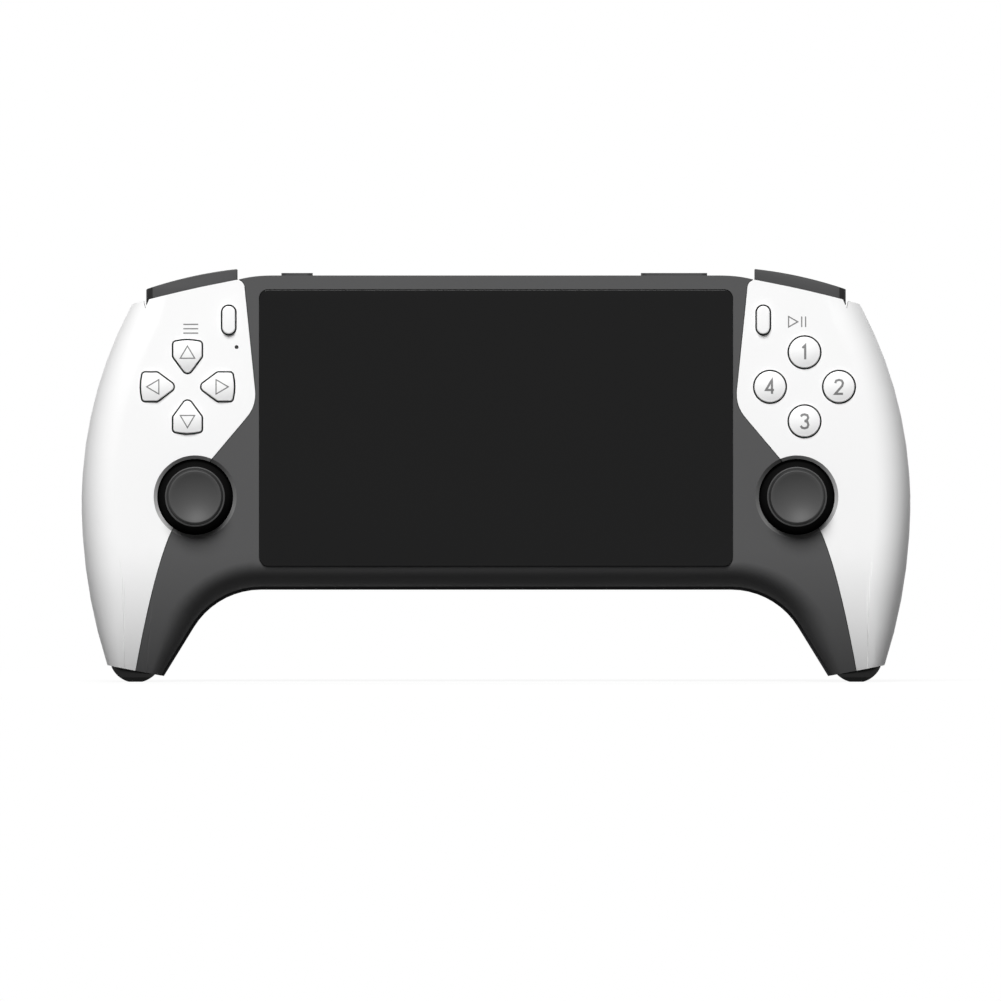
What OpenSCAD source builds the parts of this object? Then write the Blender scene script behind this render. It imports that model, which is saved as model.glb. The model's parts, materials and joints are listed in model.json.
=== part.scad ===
// Handheld game console: a wide screen between two grips, with keys, thumbsticks,
// bumpers and triggers. It stands upright on its two grip feet.
// Pieces are drawn looking at the screen: x to the right, y up, z out of the screen,
// with z = 0 on the face of the frame. place() turns them upright.

/* [Screen] */
// Width of the cover glass
glass_w = 108.3; // [100:0.1:116]
// Height of the cover glass
glass_h = 63.2; // [59:0.1:68]
// Corner radius of the cover glass
glass_r = 1.9; // [1:0.1:4]
// Thickness of the cover glass
glass_t = 1.1; // [0.8:0.05:1.3]
// Height of the glass above the frame
glass_proud = 0.15; // [0:0.05:0.3]
// Gap round the glass in its recess
glass_gap = 0.15; // [0.1:0.05:0.3]
// Thickness of the adhesive frame under the glass
gasket_t = 0.25; // [0.15:0.05:0.35]
// Glass border beyond the display panel at the sides
panel_margin_x = 5.4; // [4.5:0.1:8]
// Glass border beyond the display panel above and below
panel_margin_y = 3; // [2.2:0.1:6]
// Thickness of the display panel
panel_t = 2.8; // [2:0.1:4]

/* [Body] */
// Width of each side of the body, from the glass to the widest point
side_w = 40.85; // [39:0.05:46]
// Frame above the glass
brow = 3.3; // [2.6:0.1:6]
// Frame below the glass
chin = 5.5; // [4.5:0.1:9]
// Height of the frame's lower edge above the ground
grip_drop = 21.1; // [17:0.1:26]
// Wall of the front shell and the side plates
wall = 2; // [1.8:0.1:2.4]
// Wall of the rear shell
rear_wall = 1.8; // [1.4:0.1:2.4]
// Depth of the front half, from the face to the parting plane
split_d = 10; // [9.5:0.1:12]
// Depth of the middle of the body
mid_depth = 18.5; // [17.5:0.1:22]
// Depth of the grips
grip_depth = 36; // [32:0.5:42]
// Rounding of the front edges
round_front = 6; // [4:0.1:7]
// Rounding of the outer front edges
round_side = 8; // [6:0.1:9]
// Rounding of the rear edges
round_rear = 12; // [8:0.1:14]
// Gap along the seams between the shells
seam = 0.15; // [0.1:0.05:0.3]
// Ledge of the rear half along the lower edge and the inner edges of the grips
ledge = 0.7; // [0.3:0.1:0.8]

/* [Outline] */
// How far the top corners lie inside the widest point
shoulder_tuck = 11.6; // [9:0.1:14]
// How far the top corners lie below the top edge
shoulder_drop = 6.5; // [5:0.1:8]
// Distance from the glass to the inner end of each shoulder
shoulder_in = 4.3; // [3.8:0.1:5]
// How far the inner ends of the shoulders lie below the top edge
shoulder_step = 0.8; // [0.5:0.1:1.4]
// Height of the widest point above the ground
widest_h = 41; // [36:0.5:46]
// How far the outer ends of the grips lie inside the widest point
foot_tuck = 5.9; // [4:0.1:8]
// Distance from the glass to the inner ends of the grips
grip_in = 22; // [20:0.1:24]
// Slant of the inner grip edges from level, in degrees
grip_slant = 58.4; // [54:0.1:64]
// Radius where the grips meet the lower edge
grip_fillet = 18; // [12:0.5:20]
// Height difference along each grip end
end_rise = 2.5; // [1.5:0.1:3.5]
// Height where the grips start to curve back, above the lower edge
droop_start = 9; // [6:0.5:14]
// Radius of that curve
droop_r = 62; // [50:1:90]

/* [Feet] */
// Height of each foot under the middle of its grip end
foot_h = 2.55; // [2:0.05:4]
// Radius of the foot seen from the front
foot_r = 6; // [5:0.1:7]
// Height cut from the round foot to make its sole
sole_cut = 0.2; // [0.1:0.05:0.8]
// Depth of the front end of the foot
foot_front = 7; // [6.8:0.1:9]
// Depth of the rear end of the foot
foot_rear = 27.5; // [24:0.5:30]

/* [Keys] */
// Distance from the glass to the centres of the key groups
group_in = 16.5; // [16:0.1:18]
// Distance from the top edge to the centres of the key groups
group_down = 25.5; // [24.5:0.1:27]
// Width of an arrow key
arrow_w = 6.6; // [6:0.1:7.4]
// Length of an arrow key
arrow_l = 7.55; // [7:0.05:9]
// Distance from the group centre to the point of an arrow key
arrow_in = 3.15; // [2.4:0.05:3.4]
// Diameter of a round key
round_d = 7.25; // [6.5:0.05:8]
// Distance from the group centre to the centre of a round key
round_out = 7.9; // [7.6:0.1:8.6]
// Width of the select and start keys
pill_w = 3.05; // [2.8:0.05:3.8]
// Height of the select and start keys
pill_h = 6.55; // [5.5:0.05:7.5]
// Distance from the glass to the select and start keys
pill_in = 7.05; // [6.8:0.05:7.6]
// Distance from the top edge to the select and start keys
pill_down = 10.2; // [9.8:0.1:11]
// Height of the keys above the plates
key_proud = 1.1; // [1:0.1:1.6]
// Gap round a key in its hole
key_gap = 0.3; // [0.2:0.01:0.4]
// Width of the rim that keeps a key in
key_rim = 0.7; // [0.5:0.05:0.9]
// Thickness of that rim
key_rim_t = 1; // [0.7:0.1:1.4]
// Height of the rubber domes above the board
dome_h = 3.55; // [2.5:0.05:4]
// Diameter of the status opening
status_d = 0.9; // [0.7:0.1:1.4]
// Distance from the glass to the status opening
status_in = 5.25; // [4.6:0.05:5.6]
// Distance from the top edge to the status opening
status_down = 16.4; // [16:0.1:17]

/* [Thumbsticks] */
// Distance from the glass to the thumbsticks
stick_in = 14.75; // [14:0.05:17]
// Distance from the top edge to the thumbsticks
stick_down = 50.7; // [49:0.1:53]
// Diameter of the opening round a thumbstick
well_d = 17.4; // [16.5:0.1:18.5]
// Width of the chamfer round that opening
well_chamfer = 0.8; // [0.5:0.1:1]
// Gap between the opening and the stick's skirt
well_gap = 0.25; // [0.2:0.05:0.4]
// Diameter of the thumb cap
cap_d = 13.7; // [12.5:0.1:14]
// Thickness of the thumb cap
cap_t = 1.8; // [1.4:0.1:2.2]
// Height of the thumb cap above the face
stick_proud = 5; // [4.8:0.1:6]
// Diameter of the dish in the thumb cap
dish_d = 11.4; // [9:0.1:12]
// Depth of that dish
dish_depth = 1.4; // [0.4:0.1:1.6]
// Height of the tilting centre above the board
pivot_h = 4; // [3.8:0.1:4.4]
// Diameter of the stick's shaft
shaft_d = 3; // [2.4:0.1:3.2]
// Width of the stick's base
base_w = 11; // [10.6:0.1:11.4]

/* [Shoulders] */
// Length of a bumper
bumper_l = 21.4; // [20.5:0.1:22]
// Distance from the inner end of the shoulder to the bumper
bumper_in = 0.85; // [0.7:0.05:1.1]
// Height of a bumper above the shoulder at its ends
bumper_h = 2.5; // [2:0.1:3.2]
// Extra height at the middle of a bumper
bumper_crown = 0.6; // [0.2:0.1:1]
// Depth of a bumper from front to back
bumper_d = 13; // [12.5:0.1:13.5]
// Rounding of a bumper's outer front corner
bumper_nose = 2; // [1:0.1:2.5]
// Diameter of a bumper's pin
bumper_pin_d = 1.6; // [1.2:0.1:1.8]
// Length of a trigger
trigger_l = 19; // [17:0.1:19.6]
// Diameter of a trigger's pin
trigger_pin_d = 2; // [1.6:0.1:2.2]
// Running clearance of pins in their bores, on the radius
pin_gap = 0.05; // [0.03:0.01:0.08]
// Gap between moving shoulder pieces and their neighbours
shoulder_gap = 0.3; // [0.25:0.05:0.4]

/* [Top edge] */
// Distance of the power key left of the middle
power_x = 45.6; // [44:0.1:46]
// Width of the power key
power_w = 7.2; // [6:0.1:8]
// Distance of the volume rocker right of the middle
volume_x = 40.8; // [39:0.1:41.5]
// Width of the volume rocker
volume_w = 15.2; // [13:0.1:16]
// Height of the power key and the volume rocker above the edge
edge_key_proud = 0.6; // [0.4:0.1:1]
// Thickness of the power key and the volume rocker
edge_key_t = 3; // [2.4:0.1:3.4]
// Distance of the headphone jack left of the middle
jack_x = 27.5; // [24:0.1:30]
// Diameter of the headphone jack
jack_d = 3.6; // [3.5:0.05:3.7]
// Distance of the charging socket left of the middle
charge_x = 9.2; // [6:0.1:12]
// Distance of the line jack right of the middle
line_x = 7.8; // [6:0.1:9]
// Distance of the video socket right of the middle
video_x = 21.1; // [19.5:0.1:23]
// Width of the opening of a flat socket
socket_w = 8.9; // [8:0.1:9.4]
// Height of the opening of a flat socket
socket_t = 3.2; // [2.8:0.1:3.4]
// Width of the card reader's slot
card_w = 11.6; // [11:0.1:14]

/* [Inside] */
// Thickness of the main board
board_t = 1.2; // [1:0.1:1.6]
// Width of the battery
battery_w = 60; // [50:1:62]
// Height of the battery
battery_h = 36; // [30:1:38]
// Gap round the battery
battery_gap = 0.15; // [0.1:0.05:0.3]
// Width of a speaker
speaker_w = 18; // [14:0.5:18.5]
// Height of a speaker
speaker_h = 11; // [9:0.5:12]
// Thickness of a speaker
speaker_t = 4; // [3:0.1:4.2]
// Distance of the speakers from the middle
speaker_x = 41; // [40.5:0.1:42]
// Diameter of the case screws
screw_d = 2; // [1.6:0.1:2.2]
// Diameter of the heads of the case screws
screw_head_d = 4; // [3.4:0.1:4.4]

/* [Hidden] */
$fn = 48;
tiny = 0.01;
far = 200;

// Main lines of the body
x_glass = glass_w / 2;
x_wide = x_glass + side_w;
y_low = grip_drop;
y_glass = y_low + chin;
y_top = y_glass + glass_h + brow;
y_shift = (stick_proud - grip_depth) / 2;

// Corners of the right half of the outline
shoulder_a = [x_glass + shoulder_in, y_top - shoulder_step];
shoulder_b = [x_wide - shoulder_tuck, y_top - shoulder_drop];
shoulder_angle = atan2(shoulder_a.y - shoulder_b.y, shoulder_b.x - shoulder_a.x);
end_out = [x_wide - foot_tuck, foot_h + end_rise / 2];
end_in = [x_glass + grip_in, foot_h - end_rise / 2];
end_mid = (end_out + end_in) / 2;
end_angle = atan2(end_out.y - end_in.y, end_out.x - end_in.x);

// Outer arcs: both stand upright at the widest point
upper_r = arc_radius(shoulder_tuck, shoulder_b.y - widest_h);
lower_r = arc_radius(foot_tuck, widest_h - end_out.y);
function arc_radius(tuck, rise) = (tuck * tuck + rise * rise) / (2 * tuck);

// Inner grip edge: a slanted line and a fillet into the lower edge
slant_x = end_in.x - (y_low - end_in.y) / tan(grip_slant);
fillet_x = slant_x - grip_fillet * tan(grip_slant / 2);
fillet_end = fillet_x + grip_fillet * sin(grip_slant);

// The rounded form runs past the top edge and the grip ends, which are then cut square
over_top = 10;
over_end = 8;
tip_run = 6;
y_tip = end_in.y - tip_run;
tip_in = end_in.x + tip_run / tan(grip_slant);

function lower_edge(x) =
    x <= fillet_x ? y_low :
    x <= fillet_end ? y_low - grip_fillet + sqrt(pow(grip_fillet, 2) - pow(x - fillet_x, 2)) :
    x <= tip_in ? end_in.y - (x - end_in.x) * tan(grip_slant) :
    max(y_tip, widest_h - arc_height(x, lower_r));
function upper_edge(x) = min(y_top + over_top, widest_h + arc_height(x, upper_r));
function arc_height(x, r) =
    let (centre = x_wide - r) r - abs(x - centre) < 1e-6 ? side_flat :
    x < centre ? r : sqrt(r * r - pow(x - centre, 2));
side_flat = 2;

// Columns of the form, from the middle to the widest point
arc_step = 4;
arc_steps = floor(acos((tip_in - x_wide + upper_r) / upper_r) / arc_step - 0.4);
half_columns = concat(
    [for (i = [1:3]) fillet_x * i / 3],
    [for (i = [1:9]) fillet_x + grip_fillet * sin(grip_slant * i / 9)],
    [for (i = [1:4]) fillet_end + (tip_in - fillet_end) * i / 4],
    [for (i = [arc_steps:-1:0]) x_wide - upper_r + upper_r * cos(arc_step * i)]
);
columns = concat([for (i = [len(half_columns) - 1:-1:0]) -half_columns[i]], [0], half_columns);
last = len(columns) - 1;
rim = concat(
    [for (x = columns) [x, lower_edge(abs(x))]],
    [for (i = [last:-1:0]) [columns[i], upper_edge(abs(columns[i]))]]
);
rim_n = len(rim);
rim_in = [for (i = [0:rim_n - 1])
    let (t = rim[(i + 1) % rim_n] - rim[(i + rim_n - 1) % rim_n]) [-t.y, t.x] / norm(t)];
rim_ledge = [for (i = [0:rim_n - 1]) i > last || abs(rim[i].x) > tip_in ? 0 :
    ledge * min(1, (rim[i].y - y_tip) / tip_run)];

// Depth of the face below z = 0, and of the rear surface
function ease(t) = let (u = min(1, max(0, t))) u * u * (3 - 2 * u);
function droop(y) =
    let (d = max(0, y_low + droop_start - y)) droop_r - sqrt(droop_r * droop_r - d * d);
swell_in = x_glass - 8;
swell_full = x_glass + 20;
swell_top = y_top - 10;
swell_high = widest_h - 3;
tip_share = 0.45;
tip_start = widest_h - 17;
function rear_depth(x, y) = mid_depth + (grip_depth - mid_depth)
    * ease((abs(x) - swell_in) / (swell_full - swell_in))
    * ease((swell_top - y) / (swell_top - swell_high))
    * (1 - tip_share * ease((tip_start - y) / (tip_start - y_tip)));

// One half of the body: rings round the rim, then a grid over the face
rows = 16;
row_bias = 1.15;
outer_rings = 6;
inner_rings = 4;

// Rounding of the edges: it grows from the grip tips, slower along the outer arcs than these
// widen, and stays within a share of the grip's half width
tip_round = 1.6;
tip_growth = 0.28;
arc_round = 5.5;
arc_growth = 0.08;
half_share = 0.75;
function grip_half(y) = (x_wide - lower_r + sqrt(lower_r * lower_r - pow(widest_h - y, 2))
    - end_in.x + (y - end_in.y) / tan(grip_slant)) / 2;
function edge_round(p, most, side) =
    let (h = max(0, p.y - y_tip))
    let (grown = tip_round + tip_growth * h)
    let (full = abs(p.x) > tip_in ? min(side, arc_round + arc_growth * h) : most)
    min(full, grown, p.y < y_low ? max(tip_round / 4, half_share * grip_half(p.y)) : full);
function face_z(p, inset, back) = back ? inset - rear_depth(p.x, p.y) : -droop(p.y) - inset;

module half_form(inset, back) {
    plane = -split_d - (back ? seam : 0);
    deep = inset > 0 ? (back ? 1 : -1) : 0;
    rings = inset > 0 ? inner_rings : outer_rings;
    most = back ? round_rear : round_front;
    side = back ? round_rear : round_side;
    bend = [for (p = rim) max(0.5, edge_round(p, most, side) - inset)];
    ring = [for (k = [-1:rings]) [for (i = [0:rim_n - 1])
        let (a = 90 * max(k, 0) / rings)
        let (step = inset + (back ? 0 : rim_ledge[i]))
        let (p = rim[i] + rim_in[i] * (step + bend[i] * (1 - cos(a))))
        [p.x, p.y, k < 0 ? plane + deep : plane + (face_z(p, inset, back) - plane) * sin(a)]]];
    top = ring[rings + 1];
    inner = [for (i = [1:last - 1]) for (j = [1:rows - 1])
        let (a = top[i], b = top[rim_n - 1 - i], t = pow(j / rows, row_bias))
        let (p = [a.x, a.y] * (1 - t) + [b.x, b.y] * t)
        [p.x, p.y, face_z(p, inset, back)]];
    first = inset > 0 ? 0 : 1;
    used = [for (k = [first:rings + 1]) each ring[k]];
    strips = rings + 1 - first;
    grid = function(i, j)
        j == 0 || (i % last == 0 && j < rows / 2) ? strips * rim_n + i :
        j == rows || i % last == 0 ? strips * rim_n + rim_n - 1 - i :
        (strips + 1) * rim_n + (i - 1) * (rows - 1) + j - 1;
    quads = concat(
        [for (k = [0:strips - 1]) for (i = [0:rim_n - 1]) let (n = (i + 1) % rim_n)
            [k * rim_n + i, (k + 1) * rim_n + i, (k + 1) * rim_n + n, k * rim_n + n]],
        [for (i = [0:last - 1]) [i, i + 1, rim_n - 2 - i, rim_n - 1 - i]],
        [for (i = [0:last - 1]) for (j = [0:rows - 1])
            [grid(i, j), grid(i, j + 1), grid(i + 1, j + 1), grid(i + 1, j)]]
    );
    halves = [for (q = quads) each [[q[0], q[1], q[2]], [q[0], q[2], q[3]]]];
    faces = [for (f = halves) if (f[0] != f[1] && f[1] != f[2] && f[2] != f[0]) f];
    polyhedron(concat(used, inner), [for (f = faces) back ? [f[2], f[1], f[0]] : f]);
}

// True outline of the body, seen from the front
shoulder_crown = 0.25;
brow_turn = 3;
brow_pull = 1.2;
outline_side = concat(
    [[0, y_top]],
    [for (i = [0:7]) bezier([x_glass - brow_turn, y_top], [x_glass + brow_pull, y_top], shoulder_a, i / 8)],
    [for (i = [0:8]) shoulder_a + (shoulder_b - shoulder_a) * i / 8
        + [0, shoulder_crown * (1 - pow(i / 4 - 1, 2))]],
    [shoulder_b + [cos(shoulder_angle), -sin(shoulder_angle)] * 2 * over_end],
    [end_out + [cos(end_angle), sin(end_angle)] * 2 * over_end],
    [end_in - [cos(end_angle), sin(end_angle)] * over_end],
    [[fillet_end, y_low / 2], [0, y_low / 2]]
);

module both() {
    children();
    mirror([1, 0, 0]) children();
}

module outline() both() polygon(outline_side);

module body_cut(inset) translate([0, 0, -far / 2]) linear_extrude(far) offset(delta = -inset) outline();

module solid_half(back) intersection() {
    half_form(0, back);
    body_cut(0);
}

module hollow_half(back) difference() {
    solid_half(back);
    intersection() {
        half_form(back ? rear_wall : wall, back);
        body_cut(back ? rear_wall : wall);
    }
}

// Places of the controls on the right side
group_x = x_glass + group_in;
group_y = y_top - group_down;
stick_x = x_glass + stick_in;
stick_y = y_top - stick_down;
pill_x = x_glass + pill_in;
pill_y = y_top - pill_down;
board_z = -split_d;

// Region of the right side plate, seen from the front
plate_bend = 10;
plate_corner = 1.8;
plate_turn = 3.6;
plate_top = [x_glass + shoulder_in - 0.7, shoulder_a.y + 0.2];
plate_waist = [x_glass + 0.6, group_y - 4.3];
plate_neck = [stick_x - 2.6, stick_y + 7.2];
plate_stick = [stick_x, stick_y];
plate_low = [stick_x + 5.3, stick_y - 7.6];
plate_end = [(end_in.x + end_out.x) / 2 + 0.2, end_in.y];
plate_pull = [stick_x + 9.4, stick_y - 16.4];
function bezier(a, b, c, t) = a * pow(1 - t, 2) + b * 2 * t * (1 - t) + c * t * t;
function toward(a, b, d) = a + (b - a) * d / norm(b - a);
waist_high = toward(plate_waist, plate_top, plate_turn);
waist_low = toward(plate_waist, plate_neck, plate_turn);
plate_side = concat(
    [plate_top],
    [for (i = [0:8]) bezier(waist_high, plate_waist, waist_low, i / 8)],
    [plate_neck, plate_stick],
    [for (i = [0:10]) bezier(plate_low, plate_pull, plate_end, i / 10)],
    [plate_end - [0, over_end], [x_wide + over_end, -over_end]],
    [shoulder_b + [over_end, 1 - over_end * tan(shoulder_angle)]]
);

module plate_zone() offset(r = plate_corner) offset(r = -plate_bend - plate_corner)
    offset(r = plate_bend, $fn = 96) polygon(plate_side);

module plate_cut(grow) translate([0, 0, -far / 2]) linear_extrude(far) offset(delta = grow) plate_zone();

// Frames of the controls on the right side
module place() translate([0, y_shift, 0]) rotate([90, 0, 0]) children();
module on_left() mirror([1, 0, 0]) children();
module at_stick() translate([stick_x, stick_y, 0]) children();
module at_group() translate([group_x, group_y, 0]) children();
module at_pill() translate([pill_x, pill_y, 0]) children();

// Flat shape with round corners, centred
module rounded(w, h, r, corner_fn = 32) hull()
    for (x = [-1, 1], y = [-1, 1]) translate([x * (w / 2 - r), y * (h / 2 - r)]) circle(r, $fn = corner_fn);

// Flat shapes of the keys, with their points towards the group centre
arrow_corner = 0.7;
arrow_taper = 3.25;
arrow_bulge = 0.3;
module arrow_shape() hull() {
    for (t = [-1:0.5:1])
        translate([t * (arrow_w / 2 - arrow_corner),
            arrow_in + arrow_l - arrow_corner - arrow_bulge * t * t])
            circle(arrow_corner, $fn = 24);
    for (s = [-1, 1])
        translate([s * (arrow_w / 2 - arrow_corner), arrow_in + arrow_taper + arrow_corner])
            circle(arrow_corner, $fn = 24);
    translate([0, arrow_in + arrow_corner * 1.6]) circle(arrow_corner * 1.6, $fn = 24);
}

module pill_shape() rounded(pill_w, pill_h, pill_w / 2 - tiny);

// Hole for a key: a flat shape grown by the key's gap
module key_hole(grow) hull() {
    translate([0, 0, -wall - 1]) linear_extrude(tiny) offset(delta = grow) children();
    translate([0, 0, key_proud]) linear_extrude(tiny) offset(delta = grow) children();
}

// Opening round a thumbstick, with its chamfer
module stick_well() at_stick() {
    translate([0, 0, -split_d]) cylinder(d = well_d, h = split_d + 1, $fn = 72);
    hull() {
        translate([0, 0, -well_chamfer]) cylinder(d = well_d, h = tiny, $fn = 72);
        cylinder(d = well_d + 2 * well_chamfer, h = tiny, $fn = 72);
    }
}

// Shoulder frame: x along the shoulder outwards, y square to it, from the shoulder's inner end
module shoulder() translate([shoulder_a.x, shoulder_a.y, 0]) rotate(-shoulder_angle) children();

bumper_front = -wall - shoulder_gap;
bumper_back = bumper_front - bumper_d;
bumper_end = bumper_in + bumper_l;
notch_gap = 0.6;
notch_in = bumper_in - 0.4;
notch_out = bumper_end + notch_gap;
floor_t = 1;
bumper_floor = -4.6;
trigger_floor = -6;
trigger_front = bumper_back - 0.6;
trigger_in = bumper_in + (bumper_l - trigger_l) / 2;
trigger_pin_y = -2.4;
trigger_pin_z = trigger_front - 2.7;
bumper_pin_x = bumper_in + 4.4;
bumper_pin_y = -2.6;
bumper_eye = [-10.6, -8.6];
bracket_front = -6.9;
bracket_back = trigger_front - 5;
function bracket_low(x) = shoulder_a.y - (x - shoulder_a.x) * tan(shoulder_angle)
    + (bumper_floor - floor_t) / cos(shoulder_angle);

// Room in the shells for a bumper, a trigger and their bracket
module shoulder_room() shoulder() {
    translate([notch_in, bumper_floor - floor_t - seam, bumper_back])
        cube([notch_out - notch_in, far, bumper_d + shoulder_gap + tiny]);
    translate([notch_in, trigger_floor - floor_t - seam, -mid_depth - 6])
        cube([notch_out - notch_in, far, mid_depth + 6 + bumper_back + tiny]);
}

module plate_body() difference() {
    intersection() {
        hollow_half(false);
        plate_cut(-seam / 2);
    }
    stick_well();
    at_pill() key_hole(key_gap) pill_shape();
    shoulder_room();
}

module plate_pegs() for (y = peg_heights)
    hull() {
        translate([peg_x, y, -wall - peg_l]) cylinder(d = 1.6, h = tiny, $fn = 16);
        translate([peg_x, y, -wall - 0.2]) cylinder(d = 2, h = 0.4, $fn = 16);
    }
peg_x = group_x + 13.5;
peg_heights = [group_y - 14, group_y - 7, group_y];
peg_l = 3;

module left_plate() color("white") place() on_left() {
    difference() {
        plate_body();
        for (a = [0:90:270]) at_group() rotate(a) key_hole(key_gap) arrow_shape();
        translate([x_glass + status_in, y_top - status_down, -wall - 1])
            cylinder(d = status_d, h = wall + 2, $fn = 24);
    }
    plate_pegs();
}

module right_plate() color("white") place() {
    difference() {
        plate_body();
        for (a = [0:90:270]) at_group() rotate(a) translate([0, round_out])
            key_hole(key_gap) circle(d = round_d, $fn = 48);
    }
    plate_pegs();
}

// Screws that hold the case together, and their posts
screw_x = x_glass - 2.2;
case_screw_down = 9.5;
case_screw_up = 3;
grip_screw = [-0.6, 11.6];
board_screw_down = [22, 47];
case_screw_places = [
    [screw_x, y_top - case_screw_down], [screw_x, y_glass + case_screw_up], end_in + grip_screw
];
board_screw_places = [for (d = board_screw_down) [screw_x - 0.4, y_top - d]];
post_d = screw_head_d + 0.8;
seat_depth = 2.2;
screw_seat = -mid_depth + seat_depth;
screw_head_t = 1.3;
screw_l = 11;
fit_gap = 0.05;
board_screw_d = 1.2;
board_head_d = 2.6;
board_head_t = 0.8;
board_screw_l = 5;

module at_case_screws() both() for (p = case_screw_places) translate([p.x, p.y, 0]) children();
module at_board_screws() both() for (p = board_screw_places) translate([p.x, p.y, 0]) children();

// Glass recess and display window
recess_d = glass_t - glass_proud + gasket_t;
panel_w = glass_w - 2 * panel_margin_x;
panel_h = glass_h - 2 * panel_margin_y;
panel_gap = 0.3;
glass_mid = y_glass + glass_h / 2;
module at_glass(z) translate([0, glass_mid, z]) children();

// Card reader's place, behind the board above the lower edge
card_rise = 7.6;
card_y = y_low + card_rise;
card_t = 1.7;
card_l = 12;

// Openings in the top edge
socket_skin = 0.3;
port_lift = 0.4;
port_z = board_z + socket_t / 2 + socket_skin + port_lift;
edge_key_z = board_z + 2.7;
module top_hole(x, w, t, z) translate([x, y_top - wall - 2, z]) rotate([-90, 0, 0])
    linear_extrude(wall + 4) rounded(w, t, min(w, t) / 2 - tiny);

module front_shell() color([0.34, 0.34, 0.34]) place() {
    difference() {
        union() {
            difference() {
                hollow_half(false);
                plate_cut(seam / 2);
                on_left() plate_cut(seam / 2);
            }
            intersection() {
                half_form(wall / 2, false);
                union() {
                    at_case_screws() translate([0, 0, -split_d])
                        cylinder(d = post_d, h = split_d - wall + tiny, $fn = 32);
                    at_board_screws() translate([0, 0, -split_d])
                        cylinder(d = post_d - 1.4, h = split_d - wall + tiny, $fn = 32);
                    translate([volume_x, volume_pin_y, volume_post_z])
                        cylinder(d = volume_post_d, h = -wall - volume_post_z + tiny, $fn = 32);
                }
            }
        }
        at_glass(-recess_d) linear_extrude(far)
            rounded(glass_w + 2 * glass_gap, glass_h + 2 * glass_gap, glass_r + glass_gap);
        at_glass(-wall - 1) linear_extrude(far)
            rounded(panel_w + 2 * panel_gap, panel_h + 2 * panel_gap, 1);
        stick_well();
        on_left() stick_well();
        at_case_screws() translate([0, 0, -split_d - 1])
            cylinder(d = screw_d + 2 * fit_gap, h = split_d - wall - 1, $fn = 24);
        at_board_screws() translate([0, 0, -split_d - 1])
            cylinder(d = board_screw_d + 2 * fit_gap, h = split_d - wall - 1, $fn = 24);
        translate([volume_x, volume_pin_y, -split_d])
            cylinder(d = volume_pin_d + 2 * pin_gap, h = split_d + volume_pin_front + 0.1, $fn = 24);
        top_hole(-power_x, power_w + 2 * key_gap, edge_key_t + 2 * key_gap, edge_key_z);
        top_hole(volume_x, volume_w + 4 * key_gap, edge_key_t + 2 * key_gap, edge_key_z);
        top_hole(-charge_x, socket_w + 2 * socket_skin, socket_t + 2 * socket_skin, port_z);
        top_hole(video_x, socket_w + 2 * socket_skin, socket_t + 2 * socket_skin, port_z);
        for (x = [-jack_x, line_x]) top_hole(x, jack_od + 2 * fit_gap, jack_od + 2 * fit_gap, jack_z);
        shoulder_room();
        on_left() shoulder_room();
    }
}

// Rear shell, with screw wells, grilles and the card slot
grille_slots = 6;
grille_pitch = 2.2;
grille_slot_w = 1;
grille_reach = 4;
speaker_y = y_glass + 12;
peg_d = 3.2;

module at_foot() translate([end_mid.x, end_mid.y, 0]) rotate(end_angle) children();

module rear_shell() color([0.13, 0.13, 0.14]) place() difference() {
    union() {
        hollow_half(true);
        intersection() {
            half_form(rear_wall / 2, true);
            union() {
                at_case_screws() translate([0, 0, -far])
                    cylinder(d = post_d, h = far - split_d - seam, $fn = 32);
                at_case_screws() translate([0, 0, -far])
                    cylinder(d = screw_head_d + 2.4, h = far + screw_seat + 1, $fn = 32);
            }
        }
    }
    at_case_screws() translate([0, 0, -far]) cylinder(d = screw_d + 4 * fit_gap, h = far, $fn = 24);
    at_case_screws() translate([0, 0, -far])
        cylinder(d = screw_head_d + 0.4, h = far + screw_seat, $fn = 32);
    both() for (i = [0:grille_slots - 1])
        translate([speaker_x + (i - (grille_slots - 1) / 2) * grille_pitch, speaker_y, -mid_depth - grille_reach])
            linear_extrude(rear_wall + grille_reach + 1)
            rounded(grille_slot_w, speaker_h - 3, grille_slot_w / 2 - tiny, 12);
    shoulder_room();
    on_left() shoulder_room();
    translate([-card_w / 2 - 0.2, 0, board_z - board_t - card_t - 0.1])
        cube([card_w + 0.4, card_y, card_t + 0.2]);
    both() at_foot() translate([0, 0, foot_peg_z]) rotate([-90, 0, 0])
        cylinder(d = peg_d + 2 * fit_gap, h = 10, center = true, $fn = 32);
}

// Foot on the end of a grip: round from the front, with a flat sole
foot_peg_z = -(foot_front + foot_rear) / 2;
module foot() {
    intersection() {
        translate([end_mid.x, foot_r - sole_cut, -foot_rear])
            cylinder(r = foot_r, h = foot_rear - foot_front);
        translate([end_mid.x - foot_r, 0, -foot_rear])
            cube([2 * foot_r, foot_r, foot_rear - foot_front]);
        at_foot() translate([-2 * foot_r, -2 * foot_r - fit_gap, -foot_rear])
            cube([4 * foot_r, 2 * foot_r, foot_rear]);
        translate([end_mid.x - foot_r, 0, 0]) rotate([0, 90, 0]) linear_extrude(2 * foot_r)
            foot_side();
    }
    at_foot() translate([0, -1, foot_peg_z]) rotate([-90, 0, 0]) cylinder(d = peg_d, h = 1 + peg_l);
}

// Side view of a foot: depth and height, with a slope up at both ends of the sole
module foot_side() polygon([
    [foot_front, 1], [foot_front + 1, 0], [foot_rear - 2, 0], [foot_rear, 2],
    [foot_rear, foot_r], [foot_front, foot_r]
]);

module left_foot() color([0.1, 0.1, 0.1]) place() on_left() foot();
module right_foot() color([0.1, 0.1, 0.1]) place() foot();

// Screen stack
module screen_glass() color([0.12, 0.12, 0.12]) place() at_glass(glass_proud - glass_t)
    linear_extrude(glass_t) rounded(glass_w, glass_h, glass_r);

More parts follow.
